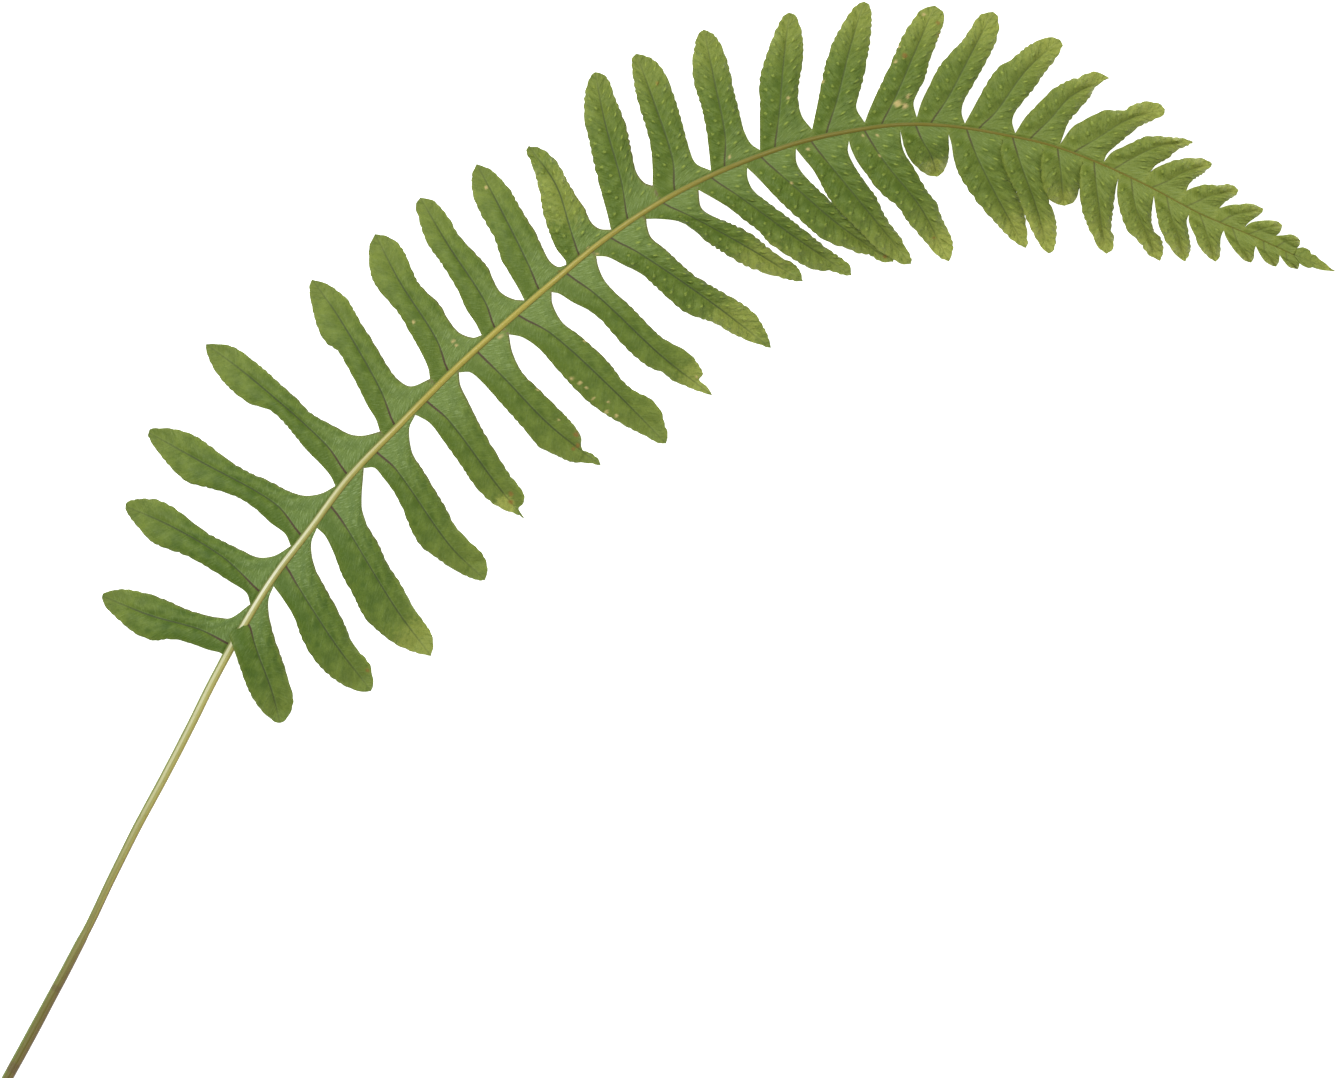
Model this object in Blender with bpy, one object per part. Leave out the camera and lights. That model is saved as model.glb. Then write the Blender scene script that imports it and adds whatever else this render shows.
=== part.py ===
"""Fern frond: a deeply lobed green blade on a slender stalk, lying face up.

Plan places are sheet millimetres: X right, Y up, from the lower left corner of the sheet
that the frond lies on.  Heights are millimetres above that sheet.  Left and right are seen
looking from the cut end of the stalk towards the frond's tip.
"""
import math
import random

import bmesh
import bpy
from mathutils import Vector

OBJECT = "fern_frond"
MM = 0.001
SHEET_CENTRE = (132.63, 105.22)
SEED = 11

# Stalk: centre line, radius and height of its axis above the sheet
RIB = [(-0.9, -4.4), (7, 10), (17.6, 30), (27.3, 50), (32.9, 60), (38, 70), (43, 80),
       (48.5, 90), (54.7, 100), (62.3, 110), (69.8, 120), (80, 130.6), (90, 140.7),
       (100, 149.9), (110, 158.6), (120, 166.9), (130, 173.8), (140, 179.3), (150, 183.6),
       (160, 187), (170, 189.2), (180, 190.5), (190, 190.2), (200, 188.6), (210, 186.4),
       (220, 182.7), (230, 178), (240, 172.7), (250, 168.5), (260, 164), (267, 161.4)]
STALK_RADIUS = [(-0.9, 0.95), (17, 0.8), (33, 0.92), (60, 0.85), (100, 0.75), (130, 0.65),
                (165, 0.55), (200, 0.38), (230, 0.32), (267, 0.3)]
STALK_HEIGHT = [(-0.9, 0.98), (12, 1.0), (33, 2.1), (60, 4.4), (100, 6.0), (150, 6.3),
                (190, 5.4), (230, 3.6), (255, 2.2), (267, 1.2)]
STALK_END = 260.3
STALK_STEP = 5.0
STALK_BEVEL_RESOLUTION = 2

# Blade
THICKNESS = 0.6
CLEARANCE = 0.3
LEAST_WING = 0.45
BASE_ROW = 0.05
PITCH = 4.0
PLAIN_PITCH = 3.0
PLAIN_COUNT = 8
TOOTH = 0.16
CROWN = 0.35
DIMPLE = 0.4
EDGE_DROOP = 0.35
TWIST = 0.35
RESTS_FROM = 0.88

# Each lobe: place of its root along the rib, two points of its midrib, its tip, the bottom of
# the notch that follows it, its half widths towards the stalk and towards the frond's tip,
# and the length over which its own tip is rounded off
LEFT_START = (43.9, 84.3)
LEFT = [
    (46.3, (40, 89.8), (30, 92.6), (20.4, 96.4), (50.3, 94.8), 4.0, 3.6, 7),
    (52.0, (45, 104), (35, 110), (25.1, 114.4), (58.3, 106.4), 3.5, 3.2, 7),
    (60.8, (55, 115), (40, 123.4), (29.7, 129.1), (67.2, 118.4), 3.1, 3.6, 7),
    (70.0, (65, 127), (50, 140.2), (41.2, 146.8), (76.1, 129.3), 3.4, 3.2, 8),
    (79.3, (76, 138), (68, 151.8), (62.4, 159.7), (86.1, 139.8), 4.0, 3.4, 8),
    (90.1, (87.3, 147.8), (80, 159.2), (75, 168.8), (96.4, 148.5), 3.8, 3.5, 8),
    (99.4, (97, 155.3), (89.5, 166.8), (84, 176.1), (104.9, 155.4), 3.6, 3.6, 8),
    (108.2, (105.8, 162.4), (100, 174), (95.3, 182.8), (113.7, 162), 3.7, 3.9, 8),
    (116.2, (114.3, 169), (111.2, 178.5), (105.7, 186.4), (122.2, 169.5), 3.6, 3.6, 10),
    (125.8, (124.3, 179), (121, 191), (119, 201.2), (130.5, 178.3), 3.8, 3.7, 9),
    (135.1, (134.5, 183.5), (131.8, 195), (127.2, 204.9), (142.1, 181.3), 3.8, 3.5, 8.5),
    (145.0, (145, 188), (142.8, 199.5), (140.8, 209.7), (151.9, 185.4), 3.8, 3.4, 9),
    (155.0, (155.7, 192), (156.7, 203.5), (157.9, 213.1), (162.3, 189.5), 4.1, 3.8, 9),
    (165.2, (167.2, 195), (169.7, 205), (172.8, 215.3), (172.8, 190.9), 3.8, 3.9, 11),
    (176.2, (178.6, 195.2), (182.7, 204.6), (187, 214.5), (183.2, 191.9), 3.8, 4.1, 10),
    (186.0, (189.3, 195.6), (194, 204.5), (198.6, 213.3), (192.8, 190.7), 3.9, 3.7, 11),
    (195.5, (199, 193), (205, 201.3), (212, 207.7), (202.9, 188.8), 3.7, 3.6, 9),
    (205.8, (209.5, 191.2), (214.2, 196.3), (221.9, 200), (211.9, 186.7), 3.3, 3.2, 12),
    (214.6, (218.5, 187.3), (225.5, 191.6), (233, 193.8), (220.6, 183.1), 3.2, 3.2, 11),
    (222.6, (226.3, 183.8), (232, 186.4), (238.7, 187), (229.9, 181.1), 2.9, 3.3, 11),
    (230.2, (233.5, 179.3), (237, 181.2), (242.4, 182.9), (237.1, 177.4), 3.0, 3.2, 7),
    (237.0, (239.5, 175.3), (243, 176.6), (247.6, 177.6), (243.7, 173.9), 2.6, 2.6, 6),
    (243.6, (245.8, 172.2), (249, 173), (252.7, 173.8), (248.8, 170.1), 2.2, 2.2, 5),
    (249.5, (251, 169.3), (253.5, 170), (256.5, 170.6), (255.1, 168.4), 1.7, 1.8, 4),
    (254.5, (256, 167), (258, 167.3), (260, 167.3), (259.3, 165.9), 1.3, 1.3, 3),
]
RIGHT_START = (48.0, 86.6)
RIGHT = [
    (49.3, (51.4, 86), (54.3, 77.8), (56, 71.0), (54.9, 98.4), 4.2, 4.0, 7),
    (56.8, (59.5, 98.8), (67.5, 86.3), (74.2, 77.4), (63.2, 110.3), 4.1, 4.1, 8),
    (65.8, (69.5, 110), (79.5, 93.5), (86.2, 84.4), (72.9, 121.9), 4.2, 3.9, 8),
    (75.0, (79.5, 121.5), (90, 106.5), (97, 99.6), (83, 132.7), 4.1, 3.8, 9),
    (85.0, (90, 131.3), (99.5, 118.5), (105, 111.8), (91.9, 141), 3.8, 3.7, 9),
    (95.2, (101, 139.8), (110, 130.5), (120.2, 122.5), (101.9, 148.6), 4.2, 3.4, 10),
    (103.3, (110.5, 148.6), (123, 137.2), (133.2, 126.9), (110.4, 157), 4.4, 3.9, 10),
    (113.0, (119.5, 156.3), (132, 144.6), (142.5, 136.5), (119.3, 164.2), 3.6, 3.8, 14),
    (121.8, (128, 164.7), (142, 155.2), (154.2, 146), (129.3, 171.6), 3.6, 3.1, 15),
    (132.3, (138, 172.2), (150, 165.7), (160.6, 159.3), (139.7, 177.4), 2.9, 2.5, 13),
    (142.0, (147.5, 176.3), (159, 168), (170.3, 160.5), (149.4, 181.8), 3.1, 2.8, 15),
    (152.0, (157.5, 179.2), (168, 170.3), (177.2, 164.0), (159.1, 185.6), 3.2, 1.8, 15),
    (162.0, (167, 181), (174.5, 172), (182.2, 162.8), (169.7, 187.2), 2.8, 3.4, 12),
    (172.7, (177, 182.7), (184, 174), (189.8, 163.5), (179.9, 189.3), 3.8, 3.4, 14),
    (183.0, (184.2, 187.5), (186.2, 184.1), (187.4, 180.2), (189.6, 188.5), 4.0, 3.9, 7),
    (193.2, (195.5, 183.5), (200, 174.8), (205.2, 166), (200.3, 187.6), 4.1, 3.1, 14),
    (202.4, (204.2, 182), (207, 174.5), (209.8, 164.9), (208.4, 185.8), 3.4, 3.0, 12),
    (211.4, (211.8, 182.5), (212.3, 178.3), (212.9, 174.4), (216.3, 183.2), 3.5, 3.4, 6),
    (218.7, (219.2, 177.5), (220.2, 170.7), (221.3, 164.8), (223.5, 179.8), 3.2, 3.2, 9),
    (226.1, (227, 174), (229.5, 168.3), (231.8, 163.4), (230.6, 176.3), 3.2, 2.6, 9),
    (233.2, (234, 172.5), (235.5, 168.5), (237, 163.3), (237.6, 172.6), 2.8, 2.7, 7),
    (239.8, (240.8, 170), (241.8, 167), (243, 163.2), (244.6, 169.4), 2.5, 2.4, 6),
    (245.6, (246.9, 168), (248.2, 165.8), (249.8, 163), (251, 166.3), 2.2, 2.3, 5),
    (251.2, (252.3, 166.2), (253.5, 164.5), (254.9, 162.3), (255.8, 164.5), 1.8, 1.8, 4),
    (255.9, (256.8, 164.5), (257.7, 163.3), (259, 161.6), (259.7, 162.9), 1.3, 1.3, 3),
]
TIP = (267, 161.4)
TIP_HALF_WIDTH = 1.6

# Parts of a lobe's length at which its margins have turned from the notch to run beside the
# midrib, part of that turn that they first aim at, and part of the midrib within which a
# notch counts as standing at the lobe's root
NEAR_JOINS = 0.18
FAR_JOINS = 0.26
AIM = 0.45
NEAR_ROOT = 0.1

BLADE_COLOUR = (0.105, 0.185, 0.035, 1)
STALK_COLOUR = (0.32, 0.29, 0.10, 1)


def clear_scene():
    for thing in list(bpy.data.objects):
        bpy.data.objects.remove(thing, do_unlink=True)


def blend(a, b, x):
    """Smooth step of x from 0 at a to 1 at b."""
    f = min(max((x - a) / (b - a), 0.0), 1.0)
    return f * f * (3 - 2 * f)


def hermite(p, q, m, n, f):
    """Cubic from p to q with end slopes m and n."""
    f2, f3 = f * f, f * f * f
    return p * (2 * f3 - 3 * f2 + 1) + m * (f3 - 2 * f2 + f) + q * (3 * f2 - 2 * f3) + n * (f3 - f2)


def follow(rows, at):
    """Smooth value at a place, through rows of (place, value)."""
    i = 0
    while i < len(rows) - 2 and at > rows[i + 1][0]:
        i += 1

    def slope(k):
        a, b = rows[max(k - 1, 0)], rows[min(k + 1, len(rows) - 1)]
        return (b[1] - a[1]) / (b[0] - a[0])

    gap = rows[i + 1][0] - rows[i][0]
    f = (at - rows[i][0]) / gap
    return hermite(rows[i][1], rows[i + 1][1], slope(i) * gap, slope(i + 1) * gap, f)


def through(points):
    """Rows for follow() that run smoothly through plan points, by length from 0 to 1."""
    length = [0.0]
    for a, b in zip(points, points[1:]):
        length.append(length[-1] + (b - a).length)
    return [(part / length[-1], point) for part, point in zip(length, points)]


def rib_frame(x):
    """Centre, direction and left-hand normal of the rib at x."""
    centre = Vector((x, follow(RIB, x)))
    along = Vector((1.0, (follow(RIB, x + 0.2) - follow(RIB, x - 0.2)) / 0.4)).normalized()
    return centre, along, Vector((-along.y, along.x))


def rib_foot(point):
    """Place along the rib nearest to a plan point."""
    places = [point.x - 6 + 0.05 * k for k in range(240)]
    return min(places, key=lambda x: (rib_frame(x)[0] - point).length)


def blade_height(x):
    """Height of the blade's underside where it meets the stalk."""
    return follow(STALK_HEIGHT, x) + 0.1


def flank(x, side, out):
    """Point of the blade's inner edge beside the stalk."""
    centre, _, normal = rib_frame(x)
    point = centre + normal * side * (follow(STALK_RADIUS, x) + CLEARANCE + out)
    return Vector((point.x, point.y, blade_height(x)))


def notch(point, side):
    """Foot on the rib and bottom point of a notch between two lobes."""
    point = Vector(point)
    x = rib_foot(point)
    reach = (rib_frame(x)[0] - point).length - follow(STALK_RADIUS, x) - CLEARANCE
    return x, flank(x, side, max(reach, LEAST_WING))


def tip_taper(part, cap):
    """Half-width factor of a lobe that is rounded off over its last part, cap."""
    f = max(0.0, (part - 1 + cap) / cap)
    return math.sqrt(max(0.0, 1 - f ** 2.2))


class Lobe:
    """One lobe of the blade: a midrib with a margin on each side."""

    def __init__(self, row, side, before, after, plain, waves):
        root_x, near, far, tip, _, self.near_width, self.far_width, rounding = row
        inset = 0.2 * (after[0] - before[0])
        self.root_x = min(max(root_x, before[0] + inset), after[0] - inset)
        self.side = side
        self.before = before
        self.after = after
        self.plain = plain
        self.waves = waves
        start = flank(self.root_x, side, 0)
        points = [start.to_2d(), Vector(near), Vector(far), Vector(tip)]
        self.midrib = through(points)
        self.length = sum((b - a).length for a, b in zip(points, points[1:]))
        self.root_height = start.z
        pitch = PLAIN_PITCH if plain else PITCH / 2
        self.rows = max(4, round(self.length / pitch))
        self.cap = min(0.7, rounding / self.length)
        self.starts = {-1: self.part_beside(before[1]), 1: self.part_beside(after[1])}
        self.base = max(BASE_ROW, (self.starts[-1] + self.starts[1]) / 2)

    def mid(self, part):
        return follow(self.midrib, part)

    def part_beside(self, point):
        """Part of the midrib that lies beside a notch, or 0 where it is close to the root."""
        parts = [0.02 * k for k in range(35)]
        part = min(parts, key=lambda part: (self.mid(part) - point.to_2d()).length)
        return max(0.0, part - NEAR_ROOT)

    def far_normal(self, part):
        """Unit normal of the midrib on the side of the frond's tip."""
        step = self.mid(min(part + 0.02, 1.0)) - self.mid(max(part - 0.02, 0.0))
        return Vector((step.y, -step.x)).normalized() * self.side

    def offset(self, part, edge):
        """Plan point of a margin that runs beside the midrib."""
        width = self.far_width if edge > 0 else self.near_width
        tooth = TOOTH * math.cos(2 * math.pi * part * self.rows / 2)
        wave = 0.25 * math.sin(self.waves[edge] + 9 * part) * blend(0.0, 0.3, part)
        full = (width + tooth + wave) * (0.86 + 0.14 * blend(0.1, 0.6, part))
        return self.mid(part) + self.far_normal(part) * edge * full * tip_taper(part, self.cap)

    def margin(self, part, edge):
        """Plan point of a margin, from the bottom of its notch to the lobe's tip."""
        joins = FAR_JOINS if edge > 0 else NEAR_JOINS

        def beside(place):
            return self.offset(self.starts[edge] + (1 - self.starts[edge]) * place, edge)

        if part >= joins:
            return beside(part)
        start = (self.after if edge > 0 else self.before)[1].to_2d()
        aim = beside(joins * AIM)
        end = beside(joins)
        run = (beside(joins + 0.03) - end) / 0.03 * joins
        reach = (end - start).length * 1.2
        return hermite(start, end, (aim - start).normalized() * reach, run, part / joins)

    def height(self, part, across, raised):
        """Height of the underside: the lobe arches down from the rib to rest on its end."""
        fall = min(part / RESTS_FROM, 1.0)
        spine = self.root_height * (1 - fall ** 1.7) + 0.9 * math.sin(math.pi * fall)
        open_part = blend(0.0, 0.2, fall) * (1 - blend(0.85, 1.0, fall))
        form = -EDGE_DROOP * across ** 4 - TWIST * across
        form += CROWN * (1 - abs(2 * abs(across) - 1))
        if raised:
            form += DIMPLE
        return max(0.0, spine + form * open_part)

    def place(self, row, column):
        """Vertex of the lobe: row 0 runs along the stalk, row 1 starts at the notches."""
        across = column / 2 - 1
        if row == 0:
            ends = {-1: self.before[0], 0: self.root_x, 1: self.after[0]}
            inner = 1 if across > 0 else -1
            x = ends[0] + (ends[inner] - ends[0]) * abs(across)
            return flank(x, self.side, 0)
        part = (row - 1) / self.rows
        if row == 1 and abs(across) == 1:
            return (self.after if across > 0 else self.before)[1]
        middle = self.mid(self.base + (1 - self.base) * part)
        notch_row = row % 2 == 1 or self.plain
        if abs(across) == 0.5 and notch_row and row > 1:
            across = 0
        spread = abs(across)
        edge = 1 if across > 0 else -1
        plan = middle.lerp(self.margin(part, edge), spread) if spread else middle
        raised = spread == 0.5 and not notch_row and row < self.rows - 1
        return Vector((plan.x, plan.y, self.height(part, across, raised)))


class EndLobe:
    """The blade's pointed end, beyond the end of the stalk."""

    rows = 5

    def __init__(self, left, right):
        self.left = left
        self.right = right

    def place(self, row, column):
        across = column / 2 - 1
        side = -1 if across > 0 else 1
        x, outer = self.right if across > 0 else self.left
        inner = flank(x, side, 0)
        centre_x = STALK_END + 2 * CLEARANCE
        if row == 0:
            if abs(across) == 1:
                return inner
            if across:
                return flank(STALK_END, side, 0.1)
            return Vector((centre_x, follow(RIB, centre_x), blade_height(centre_x)))
        part = (row - 1) / self.rows
        start = centre_x + 1.6
        along = start + (TIP[0] - start) * part
        middle, _, normal = rib_frame(along)
        width = TIP_HALF_WIDTH * (1 - part) ** 0.8 * (1 + 0.12 * (row % 2))
        if row == 1:
            centre = Vector((middle.x, middle.y, blade_height(along)))
            return centre.lerp(outer, across * across)
        plan = middle + normal * side * width * abs(across)
        return Vector((plan.x, plan.y, max(0.0, blade_height(along) * (1 - part ** 1.5))))


def add_patch(bm, lobe):
    """Bend a plain grid of four columns into the shape of one lobe."""
    grid = bmesh.ops.create_grid(bm, x_segments=4, y_segments=lobe.rows + 1, size=1)["verts"]
    for vert in grid:
        column = round((vert.co.x + 1) * 2)
        row = round((vert.co.y + 1) * (lobe.rows + 1) / 2)
        vert.co = lobe.place(row, column)


def lobes_of(table, start, side, draw):
    """The lobes of one side, each sharing the notch between it and the next."""
    notches = [notch(start, side)] + [notch(row[4], side) for row in table]
    lobes = []
    for k, row in enumerate(table):
        waves = {edge: draw.uniform(0, 2 * math.pi) for edge in (-1, 1)}
        lobes.append(Lobe(row, side, notches[k], notches[k + 1], k < PLAIN_COUNT, waves))
    return lobes


def make_blade():
    """The whole blade, as one sheet that is given its thickness at the end."""
    draw = random.Random(SEED)
    left = lobes_of(LEFT, LEFT_START, 1, draw)
    right = lobes_of(RIGHT, RIGHT_START, -1, draw)
    bm = bmesh.new()
    for lobe in left + [EndLobe(left[-1].after, right[-1].after)] + right:
        add_patch(bm, lobe)
    bmesh.ops.remove_doubles(bm, verts=bm.verts[:], dist=0.01)
    bmesh.ops.triangulate(bm, faces=bm.faces[:], quad_method="SHORT_EDGE")
    upper = bmesh.ops.extrude_face_region(bm, geom=bm.faces[:], use_keep_orig=True)["geom"]
    raised = [item for item in upper if isinstance(item, bmesh.types.BMVert)]
    bmesh.ops.translate(bm, verts=raised, vec=(0, 0, THICKNESS))
    bmesh.ops.triangulate(bm, faces=[face for face in bm.faces if len(face.verts) > 3])
    bmesh.ops.recalc_face_normals(bm, faces=bm.faces[:])
    bmesh.ops.translate(bm, verts=bm.verts[:], vec=(-SHEET_CENTRE[0], -SHEET_CENTRE[1], 0))
    bmesh.ops.scale(bm, verts=bm.verts[:], vec=(MM, MM, MM))
    mesh = bpy.data.meshes.new("blade")
    bm.to_mesh(mesh)
    bm.free()
    return bpy.data.objects.new("blade", mesh)


def make_stalk():
    """The stalk and rib: a tapering tube from the cut end to near the frond's tip."""
    places = [RIB[0][0]]
    while places[-1] < STALK_END:
        places.append(places[-1] + STALK_STEP * rib_frame(places[-1])[1].x)
    places[-1] = STALK_END
    curve = bpy.data.curves.new("stalk", "CURVE")
    curve.dimensions = "3D"
    curve.bevel_depth = MM
    curve.bevel_resolution = STALK_BEVEL_RESOLUTION
    curve.use_fill_caps = True
    spline = curve.splines.new("POLY")
    spline.points.add(len(places) - 1)
    for point, x in zip(spline.points, places):
        plan = rib_frame(x)[0]
        place = Vector((plan.x - SHEET_CENTRE[0], plan.y - SHEET_CENTRE[1], follow(STALK_HEIGHT, x)))
        point.co = (*(place * MM), 1)
        point.radius = follow(STALK_RADIUS, x)
    return bpy.data.objects.new("stalk", curve)


def paint(thing, colour, roughness):
    material = bpy.data.materials.new(thing.name)
    material.use_nodes = True
    shader = material.node_tree.nodes["Principled BSDF"]
    shader.inputs["Base Color"].default_value = colour
    shader.inputs["Roughness"].default_value = roughness
    thing.data.materials.append(material)


def main():
    clear_scene()
    parts = bpy.data.collections.new(OBJECT)
    bpy.context.scene.collection.children.link(parts)
    blade = make_blade()
    stalk = make_stalk()
    paint(blade, BLADE_COLOUR, 0.55)
    paint(stalk, STALK_COLOUR, 0.45)
    parts.objects.link(blade)
    parts.objects.link(stalk)


main()
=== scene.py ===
"""Finished look of the fern frond: its fine blade, stalk and spore cases, and the plain studio.

Plan places are sheet millimetres, as read on the photo: X right, Y up, from the lower left
corner of its frame.  Heights are millimetres above the surface that the frond lies on.
Left and right are seen looking from the cut end of the stalk towards the frond's tip.
"""
import math

import bmesh
import bpy
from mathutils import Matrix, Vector, noise

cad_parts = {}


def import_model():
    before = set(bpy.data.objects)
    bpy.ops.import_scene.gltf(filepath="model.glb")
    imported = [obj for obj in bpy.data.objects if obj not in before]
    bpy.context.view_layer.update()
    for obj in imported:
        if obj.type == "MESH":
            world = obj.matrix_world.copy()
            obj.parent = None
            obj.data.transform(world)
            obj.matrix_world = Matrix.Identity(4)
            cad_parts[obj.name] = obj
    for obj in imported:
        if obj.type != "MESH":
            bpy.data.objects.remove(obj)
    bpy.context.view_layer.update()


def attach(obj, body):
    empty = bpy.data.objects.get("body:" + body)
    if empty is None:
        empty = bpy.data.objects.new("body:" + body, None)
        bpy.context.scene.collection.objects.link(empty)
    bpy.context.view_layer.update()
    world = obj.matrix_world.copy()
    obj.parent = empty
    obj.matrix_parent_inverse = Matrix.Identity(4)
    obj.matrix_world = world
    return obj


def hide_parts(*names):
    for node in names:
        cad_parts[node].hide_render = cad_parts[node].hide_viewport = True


MM = 0.001
SHEET_CENTRE = (132.63, 105.22)
PHOTO_CENTRE = (133.7, 107.8)
PHOTO_WIDTH = 267.4
LENS = 300
SENSOR = 36
CLIP_END = 50

# Stage, in metres and watts: name, place, size and power of each lamp
LAMPS = [("key", (-0.45, 0.6, 1.45), 0.7, 25.0), ("fill", (0.9, -0.4, 1.2), 1.0, 4.0)]
ROOM_LIGHT = 0.5
SURFACE_REACH = 3.0
SURFACE_DROP = 0.00005
SURFACE_GLOW = 1.0
SURFACE_WHITE = (0.9, 0.9, 0.9, 1)
WHITE = (1, 1, 1, 1)

# Stalk: centre line, radius and height of its axis above the surface; its grooves are given by
# their turn from the top, width and depth
RIB = [(-0.9, -4.4), (7, 10), (17.6, 30), (22.4, 40), (27.4, 50), (32.8, 60), (38, 70), (43, 80),
       (48.5, 90), (54.7, 100), (62.3, 110), (69.8, 120), (80, 130.6), (90, 140.7),
       (100, 149.9), (110, 158.6), (120, 166.9), (130, 173.8), (140, 179.3), (150, 183.6),
       (160, 187), (170, 189.2), (180, 190.5), (190, 190.2), (200, 188.6), (210, 186.4),
       (220, 182.7), (230, 178), (240, 172.7), (250, 168.5), (260, 164), (267, 161.4)]
STALK_RADIUS = [(-0.9, 1.12), (6, 1.12), (12, 1.05), (16.2, 0.98), (17.4, 0.86), (33, 0.92),
                (60, 0.85), (100, 0.75), (130, 0.65), (165, 0.55), (200, 0.36), (230, 0.26),
                (250, 0.17), (267, 0.1)]
STALK_HEIGHT = [(-0.9, 0.98), (12, 1.0), (33, 2.1), (60, 4.4), (100, 6.0), (150, 6.3),
                (190, 5.4), (230, 3.6), (255, 2.2), (267, 0.6)]
STALK_GROOVES = [(-0.5, 0.25, 0.07), (0.55, 0.2, 0.06)]
STALK_UNEVEN = 0.03
STALK_END = 266.0
STALK_SIDES = 24
STALK_PITCH = 0.7

# Steps by which slopes are measured and the nearest places on the rib and on midribs are found
SLOPE_STEP = 0.2
FOOT_REACH = 6
FOOT_STEP = 0.05
MID_STEP = 0.02
MID_STEPS = 35

# The two sides of the rib, and the two edges of a lobe: towards the stalk and the frond's tip
LEFT_SIDE, RIGHT_SIDE = 1, -1
EDGES = NEAR, FAR = -1, 1

# Blade: its thickness, how its inner edge sits in the stalk, and what is merged at seams
THICKNESS = 0.34
LIFT = 0.06
SEAT = 0.1
TUCK_PART = 0.45
TUCK_DROP = 0.3
LEAST_WING = 0.15
BLADE_SEAM = 0.004
BLADE_SLIVER = 0.0005
STALK_SEAM = 0.003

# The blade is made in four pieces, so many lobes in the lower one of each side
LEFT_LOW = 8
RIGHT_LOW = 9

# Grid of a lobe: columns across, rows at its base and their pitch beyond it
COLUMNS = 28
COLUMN_POWER = 1.25
BASE_ROWS = 8
LEAST_ROWS = 14
ROW_PITCH = 0.33
BASE_ROW = 0.05
NEAR_ROOT = 0.1
ROOT_INSET = 0.2

# Form of a lobe: raised pads, small peaks, arch, crease along the midrib, droop, twist, the lift
# of an overlap and the teeth of the margins
PITCH = 4.0
PLAIN_PITCH = 3.0
PLAIN_COUNT = 8
PEAK_PITCH = 2.3
PEAK_HEIGHT = 0.3
PEAK_SPREAD = 0.16
HALF_WIDTH = 3.6
CROWN = 0.35
CREASE = 0.22
CREASE_WIDTH = 0.5
DIMPLE = 0.4
EDGE_DROOP = 0.35
TWIST = 0.35
CROWDED_TWIST = 0.3
LAP = 0.5
ARCH = 0.9
FALL_POWER = 1.7
RESTS_FROM = 0.88
RIPPLE = 0.16
TOOTH_PITCH = 1.9
TOOTH_LEVEL = 0.62
TOOTH_GAIN = 1.25

# Spore cases: the shortest lobe that has them, the row that they stand in, their size and sink,
# and the least height of the blade, the last part of a lobe and the least width they stand at
SORUS_LOBE = 11.0
SORUS_ROW = 0.47
SORUS_REACH = 1.1
SORUS_SIZE = 0.3
SORUS_FLAT = 0.36
SORUS_SINK = 0.12
SORUS_CLEAR = 0.5
SORUS_LAST = 0.85
SORUS_WIDTH = 1.8

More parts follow.
